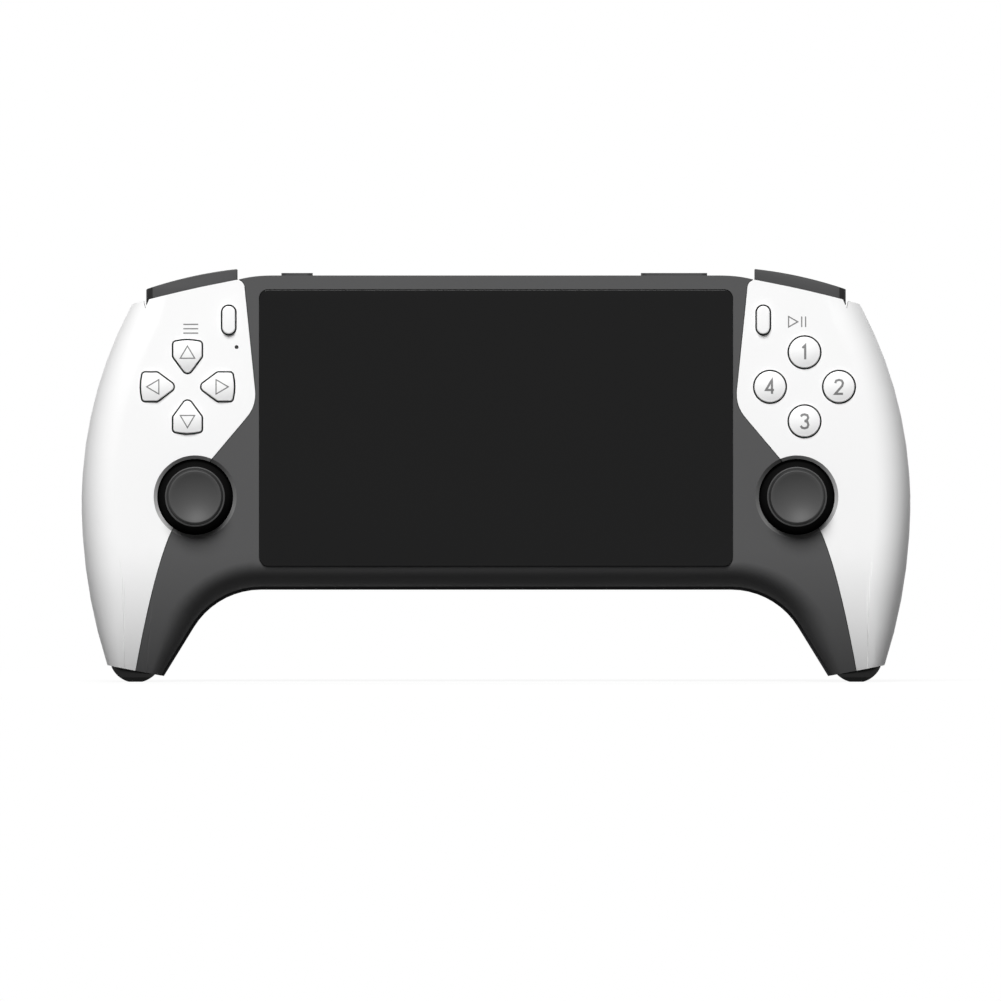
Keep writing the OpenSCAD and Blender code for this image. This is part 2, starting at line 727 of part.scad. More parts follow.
module screen_gasket() color([0.08, 0.08, 0.08]) place() at_glass(-recess_d) linear_extrude(gasket_t)
    difference() {
        rounded(glass_w - 1, glass_h - 1, glass_r);
        rounded(panel_w + 2 * panel_gap + 0.4, panel_h + 2 * panel_gap + 0.4, 1);
    }

panel_back = glass_proud - glass_t - panel_t;
module display_panel() color([0.2, 0.2, 0.22]) place() at_glass(panel_back)
    translate([-panel_w / 2, -panel_h / 2, 0]) cube([panel_w, panel_h, panel_t]);

// Ribbon from the back of the panel to the board
ribbon_w = 20;
ribbon_t = 0.3;
ribbon_run = 6;
ribbon_x = -ribbon_w / 2;
ribbon_y = y_glass + panel_margin_y + 1;
module display_ribbon() color([0.75, 0.5, 0.15]) place() translate([ribbon_x, ribbon_y, 0]) {
    translate([0, 0, panel_back - ribbon_t]) cube([ribbon_w, ribbon_run, ribbon_t]);
    translate([0, 0, board_z]) cube([ribbon_w, ribbon_run, ribbon_t]);
    translate([0, 0, board_z]) cube([ribbon_w, ribbon_t, panel_back - board_z]);
}

// Main board: a wide middle and two side wings under the controls
board_top = y_top - 5.2;
board_low = y_glass + 6.4;
wing_top = y_top - 14.4;
wing_low = stick_y - base_w;
wing_x = group_x + 11;
board_gap = 0.25;
board_x = screw_x + 4;
tab_half = 3.1;
tab_x = pill_x - tab_half;
tab_end = pill_x + tab_half;
tab_top = bracket_low(tab_end) - board_gap;
board_side = [
    [board_x, board_top], [board_x, wing_top], [tab_x, wing_top], [tab_x, tab_top], [tab_end, tab_top],
    [tab_end, wing_top], [wing_x, wing_top], [wing_x, wing_low], [board_x, wing_low], [board_x, board_low]
];
module main_board() color([0.05, 0.3, 0.15]) place() difference() {
    translate([0, 0, board_z - board_t]) linear_extrude(board_t)
        polygon(concat(board_side, [for (p = reverse(board_side)) [-p.x, p.y]]));
    at_case_screws() translate([0, 0, board_z - board_t - 1])
        cylinder(d = post_d + 2 * board_gap, h = board_t + 2);
    at_board_screws() translate([0, 0, board_z - board_t - 1])
        cylinder(d = board_screw_d + 2 * fit_gap, h = board_t + 2);
}

shield_w = 32;
shield_h = 24;
shield_t = 1.8;
module shield_can() color("silver") place()
    translate([-shield_w / 2, glass_mid - shield_h / 2, board_z]) cube([shield_w, shield_h, shield_t]);

// Battery on the floor of the rear shell, with its lead to the board
battery_z = -mid_depth + rear_wall + battery_gap;
battery_t = mid_depth - rear_wall - battery_gap - split_d - board_t - 0.3;
battery_y = card_y + card_l + 1;
module battery() color([0.25, 0.25, 0.3]) place() translate([-battery_w / 2, battery_y, battery_z])
    cube([battery_w, battery_h, battery_t]);

lead_d = 1.2;
lead_l = 5;
plug_w = 5;
module battery_lead() color("firebrick") place() translate([0, battery_y + battery_h, 0]) {
    for (s = [-1, 1]) translate([s * lead_d, 0, battery_z + battery_t / 2]) rotate([-90, 0, 0])
        cylinder(d = lead_d, h = lead_l + 1);
    translate([-plug_w / 2, lead_l, battery_z + battery_t / 2 - lead_d])
        cube([plug_w, 3, board_z - board_t - battery_z - battery_t / 2 + lead_d]);
}

module speaker() translate([speaker_x, speaker_y, battery_z]) {
    translate([-speaker_w / 2, -speaker_h / 2, 0]) cube([speaker_w, speaker_h, speaker_t - 1]);
    cylinder(d = speaker_h - 2, h = speaker_t);
}
module left_speaker() color([0.15, 0.15, 0.15]) place() on_left() speaker();
module right_speaker() color([0.15, 0.15, 0.15]) place() speaker();

// Keys: a cap, a rim under the plate and a stem down to its rubber dome
stem_z = board_z + dome_h + fit_gap;
key_slack = 0.15;
module key(stem_d) {
    rim_z = -wall - key_slack - key_rim_t;
    translate([0, 0, rim_z]) linear_extrude(key_proud - rim_z) children();
    translate([0, 0, rim_z]) linear_extrude(key_rim_t) offset(delta = key_rim) children();
    translate([0, 0, stem_z]) cylinder(d = stem_d, h = rim_z - stem_z + 0.5);
}

stem_d = 4.6;
pill_stem_d = 2.8;
arrow_mid = arrow_in + arrow_l / 2 + 0.6;
module arrow(turn) color([0.94, 0.94, 0.94]) place() on_left() at_group() rotate(turn)
    translate([0, arrow_mid]) key(stem_d) translate([0, -arrow_mid]) arrow_shape();
module arrow_up() arrow(0);
module arrow_left() arrow(270);
module arrow_down() arrow(180);
module arrow_right() arrow(90);

module button(turn) color([0.95, 0.95, 0.95]) place() at_group() rotate(turn) translate([0, round_out])
    key(stem_d) circle(d = round_d);
module button_top() button(0);
module button_left() button(90);
module button_bottom() button(180);
module button_right() button(270);

module select_button() color([0.92, 0.92, 0.92]) place() on_left() at_pill() key(pill_stem_d) pill_shape();
module start_button() color([0.92, 0.92, 0.92]) place() at_pill() key(pill_stem_d) pill_shape();

// Rubber domes on one sheet under a group of keys
sheet_t = 0.6;
module dome(d) translate([0, 0, board_z]) cylinder(d1 = d + 1, d2 = d - 0.6, h = dome_h);
module membrane(reach) at_group() {
    for (a = [0, 90]) rotate(a) translate([-reach - 3, -3.4, board_z]) cube([2 * reach + 6, 6.8, sheet_t]);
    for (a = [0:90:270]) rotate(a) translate([0, reach]) dome(stem_d);
}
module arrow_membrane() color([0.5, 0.5, 0.52]) place() on_left() membrane(arrow_mid);
module button_membrane() color([0.5, 0.5, 0.52]) place() membrane(round_out);
module pill_membrane() at_pill() {
    translate([-2.4, -3, board_z]) cube([4.8, 5, sheet_t]);
    dome(pill_stem_d);
}
module select_membrane() color([0.5, 0.5, 0.52]) place() on_left() pill_membrane();
module start_membrane() color([0.5, 0.5, 0.52]) place() pill_membrane();

// Thumbstick: cap with a round skirt, shaft, rocker and base
pivot_z = board_z + pivot_h;
skirt_r = norm([well_d / 2 - well_gap, -wall - pivot_z]);
skirt_t = 0.9;
skirt_rise = 2.5;
neck_r = 4.2;
cap_socket_l = 4.9;
cap_edge = 0.5;
function skirt_points(r, from_rise, to_radius) =
    let (a0 = asin(from_rise / r), a1 = acos(to_radius / r))
    [for (i = [0:10]) let (a = a0 + (a1 - a0) * i / 10) [r * cos(a), pivot_z + r * sin(a)]];
function reverse(list) = [for (i = [len(list) - 1:-1:0]) list[i]];
dish_r = dish_d / 2;
dish_ball = (dish_r * dish_r + dish_depth * dish_depth) / (2 * dish_depth);
stick_boss_r = shaft_d / 2 + 1.1;
stick_profile = concat(
    [for (i = [0:8]) let (r = dish_r * i / 8)
        [r, stick_proud - dish_depth + dish_ball - sqrt(dish_ball * dish_ball - r * r)]],
    [[cap_d / 2 - cap_edge, stick_proud], [cap_d / 2, stick_proud - cap_edge]],
    [[cap_d / 2, stick_proud - cap_t + cap_edge], [cap_d / 2 - cap_edge, stick_proud - cap_t]],
    [[neck_r, stick_proud - cap_t]],
    reverse(skirt_points(skirt_r, skirt_rise, neck_r)),
    skirt_points(skirt_r - skirt_t, skirt_rise, stick_boss_r),
    [[stick_boss_r, pivot_z + 2.6], [shaft_d / 2 + fit_gap, pivot_z + 2.6]],
    [[shaft_d / 2 + fit_gap, pivot_z + 2.6 + cap_socket_l], [0, pivot_z + 2.6 + cap_socket_l]]
);

module stick_cap() at_stick() rotate_extrude() polygon(stick_profile);

hub_d = shaft_d + 0.8;
hub_l = 4.2;
cross_pin_d = 1.4;
rocker_w = 7.2;
rocker_t = 2.2;
rocker_gap = 0.2;
trunnion_d = 1.6;
base_wall = 1.5;
base_in = base_w - 2 * base_wall;
base_top = 1.8;
base_floor = 0.8;

module at_pivot() at_stick() translate([0, 0, pivot_z]) children();

module stick_shaft() at_pivot() {
    cylinder(d = shaft_d, h = 2.6 + cap_socket_l - fit_gap);
    rotate([90, 0, 0]) cylinder(d = hub_d, h = hub_l, center = true);
    rotate([90, 0, 0]) cylinder(d = cross_pin_d, h = rocker_w - 0.4, center = true);
}

module stick_rocker() at_pivot() difference() {
    union() {
        cube([rocker_w, rocker_w, rocker_t], center = true);
        rotate([0, 90, 0]) cylinder(d = trunnion_d, h = base_w - 0.6, center = true);
    }
    cube([hub_d + 0.8, hub_l + 2 * rocker_gap, rocker_t + 1], center = true);
    rotate([90, 0, 0]) cylinder(d = cross_pin_d + 2 * pin_gap, h = far, center = true);
}

module stick_base() at_pivot() difference() {
    translate([-base_w / 2, -base_w / 2, -pivot_h]) cube([base_w, base_w, pivot_h + base_top]);
    translate([-base_in / 2, -base_in / 2, base_floor - pivot_h]) cube([base_in, base_in, far]);
    rotate([0, 90, 0]) cylinder(d = trunnion_d + 2 * pin_gap, h = far, center = true);
}

module left_stick_cap() color([0.22, 0.22, 0.22]) place() on_left() stick_cap();
module right_stick_cap() color([0.22, 0.22, 0.22]) place() stick_cap();
module left_stick_shaft() color("gainsboro") place() on_left() stick_shaft();
module right_stick_shaft() color("gainsboro") place() stick_shaft();
module left_stick_rocker() color([0.8, 0.8, 0.75]) place() on_left() stick_rocker();
module right_stick_rocker() color([0.8, 0.8, 0.75]) place() stick_rocker();
module left_stick_base() color([0.3, 0.3, 0.3]) place() on_left() stick_base();
module right_stick_base() color([0.3, 0.3, 0.3]) place() stick_base();

// Bumper: an arched bar with upright ends, an eye on its pin and a rib over its switch
bumper_under = -0.6;
bumper_eye_d = bumper_pin_d + 2;
switch_w = 3;
switch_h = 2.2;
switch_reach = 12.5;
switch_x = bumper_pin_x + switch_reach;
switch_top = bumper_floor + switch_h;
bumper_travel = 4;
bumper_near = bumper_in * cos(shoulder_angle);
bumper_far = bumper_end * cos(shoulder_angle);
bumper_plan = concat(
    [[bumper_near, bumper_front], [bumper_near, bumper_back], [bumper_far, bumper_back]],
    [for (i = [0:6]) let (a = 90 * i / 6)
        [bumper_far - bumper_nose * (1 - cos(a)), bumper_front - bumper_nose * (1 - sin(a))]]
);
function bumper_arch(i) = [bumper_in + bumper_l * i / 12, bumper_h + bumper_crown * (1 - pow(i / 6 - 1, 2))];
rib_low = switch_top + switch_reach * sin(bumper_travel) + 0.1;
module bumper() shoulder() difference() {
    union() {
        intersection() {
            translate([0, 0, bumper_back]) linear_extrude(bumper_d) polygon(concat(
                [[bumper_arch(13).x, bumper_under], [bumper_arch(-1).x, bumper_under]],
                [for (i = [-1:13]) bumper_arch(i)]));
            rotate(shoulder_angle) translate([0, far / 2, 0]) rotate([90, 0, 0]) linear_extrude(far)
                polygon(bumper_plan);
        }
        translate([bumper_pin_x, bumper_pin_y, bumper_eye[0]])
            cylinder(d = bumper_eye_d, h = bumper_eye[1] - bumper_eye[0]);
        translate([bumper_pin_x - bumper_eye_d / 2, bumper_pin_y, bumper_eye[0]])
            cube([bumper_eye_d, bumper_under - bumper_pin_y + 0.5, bumper_eye[1] - bumper_eye[0]]);
        translate([switch_x - 0.8, rib_low, bumper_eye[0]])
            cube([1.6, bumper_under - rib_low + 0.5, bumper_eye[1] - bumper_eye[0]]);
    }
    translate([bumper_pin_x, bumper_pin_y, bumper_eye[0] - 1])
        cylinder(d = bumper_pin_d + 2 * pin_gap, h = bumper_eye[1] - bumper_eye[0] + 2);
}

module left_bumper() color([0.3, 0.3, 0.3]) place() on_left() bumper();
module right_bumper() color([0.3, 0.3, 0.3]) place() bumper();

// Trigger: a hooked lever on a pin along the shoulder. Its side view gives depth and height
trigger_reach = grip_depth - 1 + trigger_front;
trigger_flat = 4;
trigger_fall = 12;
trigger_t = 2.7;
trigger_tip_y = -9;
trigger_low = -4.4;
trigger_heel = 5;
trigger_rise = 0.1;
trigger_lip = 0.4;
trigger_top = bumper_h + trigger_rise;
hollow_start = trigger_flat + 0.5;
hollow_fall = trigger_fall - 1.5;
trigger_side = concat(
    [[0, trigger_top - trigger_lip], [trigger_flat, trigger_top]],
    [for (i = [1:8]) let (a = 90 * i / 8)
        [trigger_flat + (trigger_reach - trigger_flat) * sin(a),
            trigger_top - trigger_fall * (1 - cos(a))]],
    [[trigger_reach - trigger_t, trigger_tip_y]],
    [for (i = [6:-1:1]) let (a = 90 * i / 8)
        [hollow_start + (trigger_reach - trigger_t - hollow_start) * sin(a),
            trigger_top - trigger_t - hollow_fall * (1 - cos(a))]],
    [[trigger_heel, trigger_low], [2 * trigger_rise, trigger_low]]
);
module trigger() shoulder() difference() {
    translate([trigger_in, 0, trigger_front]) rotate([0, 90, 0]) linear_extrude(trigger_l)
        polygon(trigger_side);
    translate([0, trigger_pin_y, trigger_pin_z]) rotate([0, 90, 0])
        cylinder(d = trigger_pin_d + 2 * pin_gap, h = far, center = true);
}

module left_trigger() color([0.22, 0.22, 0.22]) place() on_left() trigger();
module right_trigger() color([0.22, 0.22, 0.22]) place() trigger();

// Bracket in a top corner: floors under the bumper and the trigger, and ears for their pins
ear_t = 1.2;
ear_d = bumper_pin_d + 1.6;
module bracket() shoulder() difference() {
    union() {
        translate([notch_in + seam, bumper_floor - floor_t, bumper_back])
            cube([notch_out - notch_in - 2 * seam, floor_t, bracket_front - bumper_back]);
        translate([notch_in + seam, trigger_floor - floor_t, bracket_back])
            cube([notch_out - notch_in - 2 * seam, floor_t, bumper_back - bracket_back + floor_t]);
        translate([notch_in + seam, trigger_floor - floor_t, bumper_back])
            cube([notch_out - notch_in - 2 * seam, bumper_floor - trigger_floor + floor_t, floor_t]);
        for (z = [bumper_eye[0] - shoulder_gap - ear_t, bumper_eye[1] + shoulder_gap])
            translate([bumper_pin_x - ear_d / 2, bumper_floor - tiny, z]) {
                cube([ear_d, bumper_pin_y - bumper_floor, ear_t]);
                translate([ear_d / 2, bumper_pin_y - bumper_floor, 0]) cylinder(d = ear_d, h = ear_t);
            }
        for (x = [trigger_in - shoulder_gap - ear_t, trigger_in + trigger_l + shoulder_gap])
            translate([x, trigger_floor - tiny, trigger_pin_z - 2])
                cube([ear_t, trigger_pin_y - trigger_floor + 2, 4]);
    }
    translate([bumper_pin_x, bumper_pin_y, bumper_eye[0] - 4])
        cylinder(d = bumper_pin_d + 2 * pin_gap, h = bumper_eye[1] - bumper_eye[0] + 8);
    translate([0, trigger_pin_y, trigger_pin_z]) rotate([0, 90, 0])
        cylinder(d = trigger_pin_d + 2 * pin_gap, h = far, center = true);
}

module left_bracket() color([0.35, 0.35, 0.37]) place() on_left() bracket();
module right_bracket() color([0.35, 0.35, 0.37]) place() bracket();

module bumper_pin() shoulder() translate([bumper_pin_x, bumper_pin_y, bumper_eye[0] - shoulder_gap - ear_t])
    cylinder(d = bumper_pin_d, h = bumper_eye[1] - bumper_eye[0] + 2 * shoulder_gap + 2 * ear_t);
module trigger_pin() shoulder()
    translate([trigger_in - shoulder_gap - ear_t, trigger_pin_y, trigger_pin_z]) rotate([0, 90, 0])
    cylinder(d = trigger_pin_d, h = trigger_l + 2 * shoulder_gap + 2 * ear_t);

module left_bumper_pin() color("silver") place() on_left() bumper_pin();
module right_bumper_pin() color("silver") place() bumper_pin();
module left_trigger_pin() color("silver") place() on_left() trigger_pin();
module right_trigger_pin() color("silver") place() trigger_pin();

// Push switch: a square body with a round plunger, standing along +y
module push_switch(w, h) {
    translate([-w / 2, 0, -w / 2]) cube([w, h - 0.6, w]);
    rotate([-90, 0, 0]) cylinder(d = w / 2, h = h);
}

module shoulder_switches() color([0.2, 0.2, 0.2]) place() both() shoulder()
    translate([switch_x, bumper_floor, (bumper_eye[0] + bumper_eye[1]) / 2])
    push_switch(switch_w, switch_h);

// Keys on the top edge
edge_rim = 0.8;
edge_rim_top = y_top - wall - 0.5;
power_travel = 0.5;
power_stem = 1.6;
module power_button() color([0.25, 0.25, 0.25]) place() translate([-power_x, 0, edge_key_z]) {
    translate([0, edge_rim_top - 0.8, 0]) rotate([-90, 0, 0])
        linear_extrude(y_top + edge_key_proud - edge_rim_top + 0.8)
        rounded(power_w, edge_key_t, edge_key_t / 2 - tiny);
    translate([-power_w / 2 - edge_rim, edge_rim_top - 0.8, -edge_key_t / 2])
        cube([power_w + 2 * edge_rim, 0.8, edge_key_t]);
    translate([0, edge_rim_top - 0.8 - power_stem, 0]) rotate([-90, 0, 0]) cylinder(d = 2, h = power_stem);
}

volume_pin_d = 1.2;
volume_pin_y = edge_rim_top - 2;
volume_pin_front = -wall - 0.4;
volume_post_z = edge_key_z + edge_key_t / 2 + 0.4;
volume_post_d = volume_pin_d + 1.4;
module volume_rocker() color([0.25, 0.25, 0.25]) place() translate([volume_x, 0, edge_key_z]) difference() {
    union() {
        translate([0, edge_rim_top - 0.8, 0]) rotate([-90, 0, 0])
            linear_extrude(y_top + edge_key_proud - edge_rim_top + 0.8)
            rounded(volume_w, edge_key_t, edge_key_t / 2 - tiny);
        translate([-volume_w / 2 - edge_rim, edge_rim_top - 0.9, -edge_key_t / 2])
            cube([volume_w + 2 * edge_rim, 0.8, edge_key_t]);
        translate([0, volume_pin_y, -edge_key_t / 2]) cylinder(d = volume_post_d, h = edge_key_t);
        translate([-volume_post_d / 2, volume_pin_y, -edge_key_t / 2])
            cube([volume_post_d, 1.5, edge_key_t]);
    }
    translate([0, volume_pin_y, -edge_key_t]) cylinder(d = volume_pin_d + 2 * pin_gap, h = 2 * edge_key_t);
}

module volume_pin() color("silver") place() translate([volume_x, volume_pin_y, board_z + 0.4])
    cylinder(d = volume_pin_d, h = volume_pin_front - board_z - 0.4);

edge_switch_w = 3.4;
edge_switch_h = 2.4;
module edge_switches() color([0.2, 0.2, 0.2]) place() {
    translate([-power_x, edge_rim_top - 0.8 - power_stem - power_travel - 0.1 - edge_switch_h, edge_key_z])
        edge_switch();
    for (s = [-1, 1])
        translate([volume_x + s * (volume_w / 2 - 2), edge_rim_top - 1.4 - edge_switch_h, edge_key_z])
            edge_switch();
}
module edge_switch() {
    push_switch(edge_switch_w, edge_switch_h);
    translate([-edge_switch_w / 2, 0, board_z - edge_key_z])
        cube([edge_switch_w, edge_switch_h - 0.6, edge_key_z - board_z]);
}

// Sockets on the top edge, standing on the board
tongue_t = 0.7;
socket_l = 7.2;
module flat_socket() translate([0, y_top - 0.4, port_z]) rotate([90, 0, 0]) difference() {
    union() {
        linear_extrude(socket_l) rounded(socket_w + 2 * socket_skin - 2 * fit_gap,
            socket_t + 2 * socket_skin - 2 * fit_gap, socket_t / 2 + socket_skin - fit_gap - tiny);
        translate([-socket_w / 2, board_z - port_z, wall + 0.6])
            cube([socket_w, socket_skin + port_lift, socket_l - wall - 0.6]);
    }
    translate([0, 0, -1]) linear_extrude(socket_l) difference() {
        rounded(socket_w, socket_t, socket_t / 2 - tiny);
        translate([-socket_w / 2 + 1, -tongue_t / 2]) square([socket_w - 2, tongue_t]);
    }
}
module flat_sockets() color("silver") place() for (x = [-charge_x, video_x])
    translate([x, 0, 0]) flat_socket();

jack_od = jack_d + 1.6;
jack_l = 12;
jack_z = board_z + jack_od / 2 + port_lift;
module jack() translate([0, y_top - 0.3, jack_z]) rotate([90, 0, 0]) difference() {
    union() {
        cylinder(d = jack_od, h = jack_l);
        translate([-jack_od / 2, -jack_od / 2 - port_lift, wall + 0.6])
            cube([jack_od, jack_od, jack_l - wall - 0.6]);
    }
    translate([0, 0, -1]) cylinder(d = jack_d, h = jack_l);
}
module headphone_jack() color([0.1, 0.1, 0.1]) place() translate([-jack_x, 0, 0]) jack();
module line_jack() color([0.1, 0.1, 0.1]) place() translate([line_x, 0, 0]) jack();

// Card reader behind the board, with its slot in the lower edge
module card_reader() color("silver") place()
    translate([-card_w / 2 - 1, card_y, board_z - board_t - card_t]) difference() {
        cube([card_w + 2, card_l, card_t]);
        translate([1, -1, 0.35]) cube([card_w, card_l, card_t - 0.7]);
    }

// Light guide from the board to the status opening
module status_light() color([0.15, 0.15, 0.15]) place() on_left()
    translate([x_glass + status_in, y_top - status_down, board_z]) {
        cylinder(d = 2, h = split_d - wall - 0.3);
        cylinder(d = status_d - 2 * fit_gap, h = split_d - 0.2);
    }

// Fasteners
module case_screws() color("dimgray") place() at_case_screws() {
    translate([0, 0, screw_seat - screw_head_t]) cylinder(d = screw_head_d, h = screw_head_t);
    translate([0, 0, screw_seat]) cylinder(d = screw_d, h = screw_l);
}

module board_screws() color("silver") place() at_board_screws() {
    translate([0, 0, board_z - board_t - board_head_t]) cylinder(d = board_head_d, h = board_head_t);
    translate([0, 0, board_z - board_t]) cylinder(d = board_screw_d, h = board_t + board_screw_l);
}

front_shell();
left_plate();
right_plate();
rear_shell();
left_foot();
right_foot();
screen_glass();
screen_gasket();
display_panel();
display_ribbon();
main_board();
shield_can();
battery();
battery_lead();
left_speaker();
right_speaker();
arrow_up();
arrow_down();
arrow_left();
arrow_right();
button_top();
button_bottom();
button_left();
button_right();
select_button();
start_button();
arrow_membrane();
button_membrane();
select_membrane();
start_membrane();
left_stick_cap();
left_stick_shaft();
left_stick_rocker();
left_stick_base();
right_stick_cap();
right_stick_shaft();
right_stick_rocker();
right_stick_base();
left_bumper();
right_bumper();
left_trigger();
right_trigger();
left_bracket();
right_bracket();
left_bumper_pin();
right_bumper_pin();
left_trigger_pin();
right_trigger_pin();
shoulder_switches();
power_button();
volume_rocker();
volume_pin();
edge_switches();
flat_sockets();
headphone_jack();
line_jack();
card_reader();
status_light();
case_screws();
board_screws();
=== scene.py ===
"""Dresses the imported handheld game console: mouldings, keys, sticks, glass and finishes."""
import json
import math

import bmesh
import bpy
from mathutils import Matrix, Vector
from mathutils.bvhtree import BVHTree


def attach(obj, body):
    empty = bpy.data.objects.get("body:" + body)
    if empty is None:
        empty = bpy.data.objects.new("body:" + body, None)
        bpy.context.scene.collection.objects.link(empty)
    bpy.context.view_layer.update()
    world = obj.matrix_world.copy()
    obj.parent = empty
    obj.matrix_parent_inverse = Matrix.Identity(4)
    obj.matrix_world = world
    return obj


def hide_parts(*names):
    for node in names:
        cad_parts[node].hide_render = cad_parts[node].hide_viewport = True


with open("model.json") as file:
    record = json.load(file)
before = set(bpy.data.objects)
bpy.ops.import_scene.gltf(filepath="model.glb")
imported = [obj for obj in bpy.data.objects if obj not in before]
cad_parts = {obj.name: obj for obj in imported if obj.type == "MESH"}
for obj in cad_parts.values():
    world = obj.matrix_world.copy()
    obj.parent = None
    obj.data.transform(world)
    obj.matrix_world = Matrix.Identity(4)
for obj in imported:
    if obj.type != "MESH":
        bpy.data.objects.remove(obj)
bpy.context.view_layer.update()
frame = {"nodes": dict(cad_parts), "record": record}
nodes = frame["nodes"]
bodies = frame["record"]["behaviour"]["bodies"]
slot_of = {part["node"]: part["material_slot"] for part in frame["record"]["subparts"]}

# Main sizes in millimetres, as in the part's source, seen from the front: x right, y up, z out
MM = 0.001
Y_SHIFT = -15.5  # place of the front face along the row frame's y axis
X_GLASS = 54.15  # half the width of the cover glass
X_WIDE = 95.0  # half the width at the widest point
WIDEST_H = 41.0  # height of that point
Y_LOW = 21.1  # lower edge of the frame
Y_TOP = 93.1  # upper edge of the frame
WALL = 2.0  # wall of the front shell and the side plates
SPLIT_D = 10.0  # depth of the parting plane between the shells
LEDGE = 0.7  # ledge of the rear shell along the lower edge
END_IN = (76.15, 1.3)  # inner corner of a grip's end
END_OUT = (89.1, 3.8)  # outer corner of a grip's end
SHOULDER = (83.4, 86.6)  # top corner of the body
GROUP = (70.65, 67.6)  # centre of a key group
PILL = (61.2, 82.9)  # centre of the select and start keys
STICK = (68.9, 42.4)  # centre of a thumbstick
PIVOT_Z = -6.0  # tilting centre of a thumbstick
WELL_R = 8.7  # radius of the opening round a thumbstick


def row(x, y, z):
    """A point seen from the front, in millimetres, as a point of the row frame in metres."""
    return Vector((x * MM, (Y_SHIFT - z) * MM, y * MM))


def link(name, data):
    """A new object in the scene."""
    made = bpy.data.objects.new(name, data)
    bpy.context.scene.collection.objects.link(made)
    return made


# Camera: straight on, with a long lens, framed as in the photograph
PIXEL = 0.229  # millimetres to a pixel
FRAME_PX = 1001
ORIGIN_PX = (496, 682)  # pixel of the console's middle line and of the ground
LENS = 1200.0
SENSOR = 36.0
CLIP_END = 20.0
camera_data = bpy.data.cameras.new("front_camera")
camera_data.lens = LENS
camera_data.sensor_width = SENSOR
camera_data.clip_end = CLIP_END
camera = link("front_camera", camera_data)
centre_x = (FRAME_PX / 2 - ORIGIN_PX[0]) * PIXEL
centre_y = (ORIGIN_PX[1] - FRAME_PX / 2) * PIXEL
distance = FRAME_PX * PIXEL * LENS / SENSOR
camera.location = row(centre_x, centre_y, distance)
camera.rotation_euler = (math.pi / 2, 0, 0)
bpy.context.scene.camera = camera


# Shader building
MIX_A, MIX_B, MIX_OUT = 6, 7, 2  # numbers of a Mix node's colour sockets


class Wire:
    """A socket with arithmetic."""

    def __init__(self, finish, socket):
        self.finish = finish
        self.socket = socket

    def __add__(self, other):
        return self.finish.math("ADD", self, other)

    __radd__ = __add__

    def __mul__(self, other):
        return self.finish.math("MULTIPLY", self, other)

    __rmul__ = __mul__


class Finish:
    """A shader tree that is built node by node."""

    def __init__(self, name, tree=None):
        self.material = None
        if tree is None:
            self.material = bpy.data.materials.new(name)
            self.material.use_nodes = True
            tree = self.material.node_tree
        self.tree = tree
        self.tree.nodes.clear()

    def node(self, kind, settings=None, inputs=None, output=0):
        """Adds a node, with its settings and the values or links of its sockets."""
        made = self.tree.nodes.new(kind)
        for key, value in (settings or {}).items():
            setattr(made, key, value)
        for key, value in (inputs or {}).items():
            if isinstance(value, Wire):
                self.tree.links.new(value.socket, made.inputs[key])
            else:
                made.inputs[key].default_value = value
        return Wire(self, made.outputs[output]) if made.outputs else None

    def math(self, operation, a, b):
        return self.node("ShaderNodeMath", {"operation": operation}, {0: a, 1: b})

    def blend(self, share, a, b):
        """Mixes two colours by share; colours have their own sockets on a Mix node."""
        return self.node("ShaderNodeMix", {"data_type": "RGBA"}, {0: share, MIX_A: a, MIX_B: b}, MIX_OUT)

    def noise(self, scale, detail, roughness=0.5):
        place = self.node("ShaderNodeTexCoord", output="Object")
        inputs = {"Vector": place, "Scale": scale, "Detail": detail, "Roughness": roughness}
        return self.node("ShaderNodeTexNoise", inputs=inputs, output="Fac")

    def end(self, shader, kind="ShaderNodeOutputMaterial"):
        """Joins the finished shader to the output, and gives the material if there is one."""
        self.node(kind, inputs={"Surface": shader})
        return self.material


def grey(level):
    return (level, level, level, 1.0)


def tint(colour, factor):
    return tuple(min(1.0, c * factor) for c in colour) + (1.0,)


DRIFT_SCALE = 45.0  # slow changes over a moulding
GRAIN_SCALE = 2600.0  # fine grain of its skin
GRAIN_DEPTH = 0.00004
DRIFT_SHADE, GRAIN_SHADE = 0.6, 0.4  # their shares in the shade
DRIFT_GLOSS, GRAIN_GLOSS = 0.06, 0.04  # what they add to the roughness
GLOSS_MEAN = 0.05  # what that comes to on average


def moulded(name, colour, rough, grain=0.0, spread=0.04, level=0.5, metallic=0.0):
    """Moulded plastic, rubber or plain metal: fine grain, slow drift of shade and gloss."""
    f = Finish(name)
    drift = f.noise(DRIFT_SCALE, detail=3.0)
    fine = f.noise(GRAIN_SCALE, detail=2.0, roughness=0.6)
    share = drift * DRIFT_SHADE + fine * GRAIN_SHADE
    inputs = {
        "Base Color": f.blend(share, tint(colour, 1 - spread), tint(colour, 1 + spread)),
        "Roughness": rough - GLOSS_MEAN + drift * DRIFT_GLOSS + fine * GRAIN_GLOSS,
        "Metallic": metallic,
        "Specular IOR Level": level,
    }
    if grain:
        inputs["Normal"] = f.node("ShaderNodeBump", inputs={
            "Strength": grain, "Distance": GRAIN_DEPTH, "Height": fine})
    return f.end(f.node("ShaderNodeBsdfPrincipled", inputs=inputs))


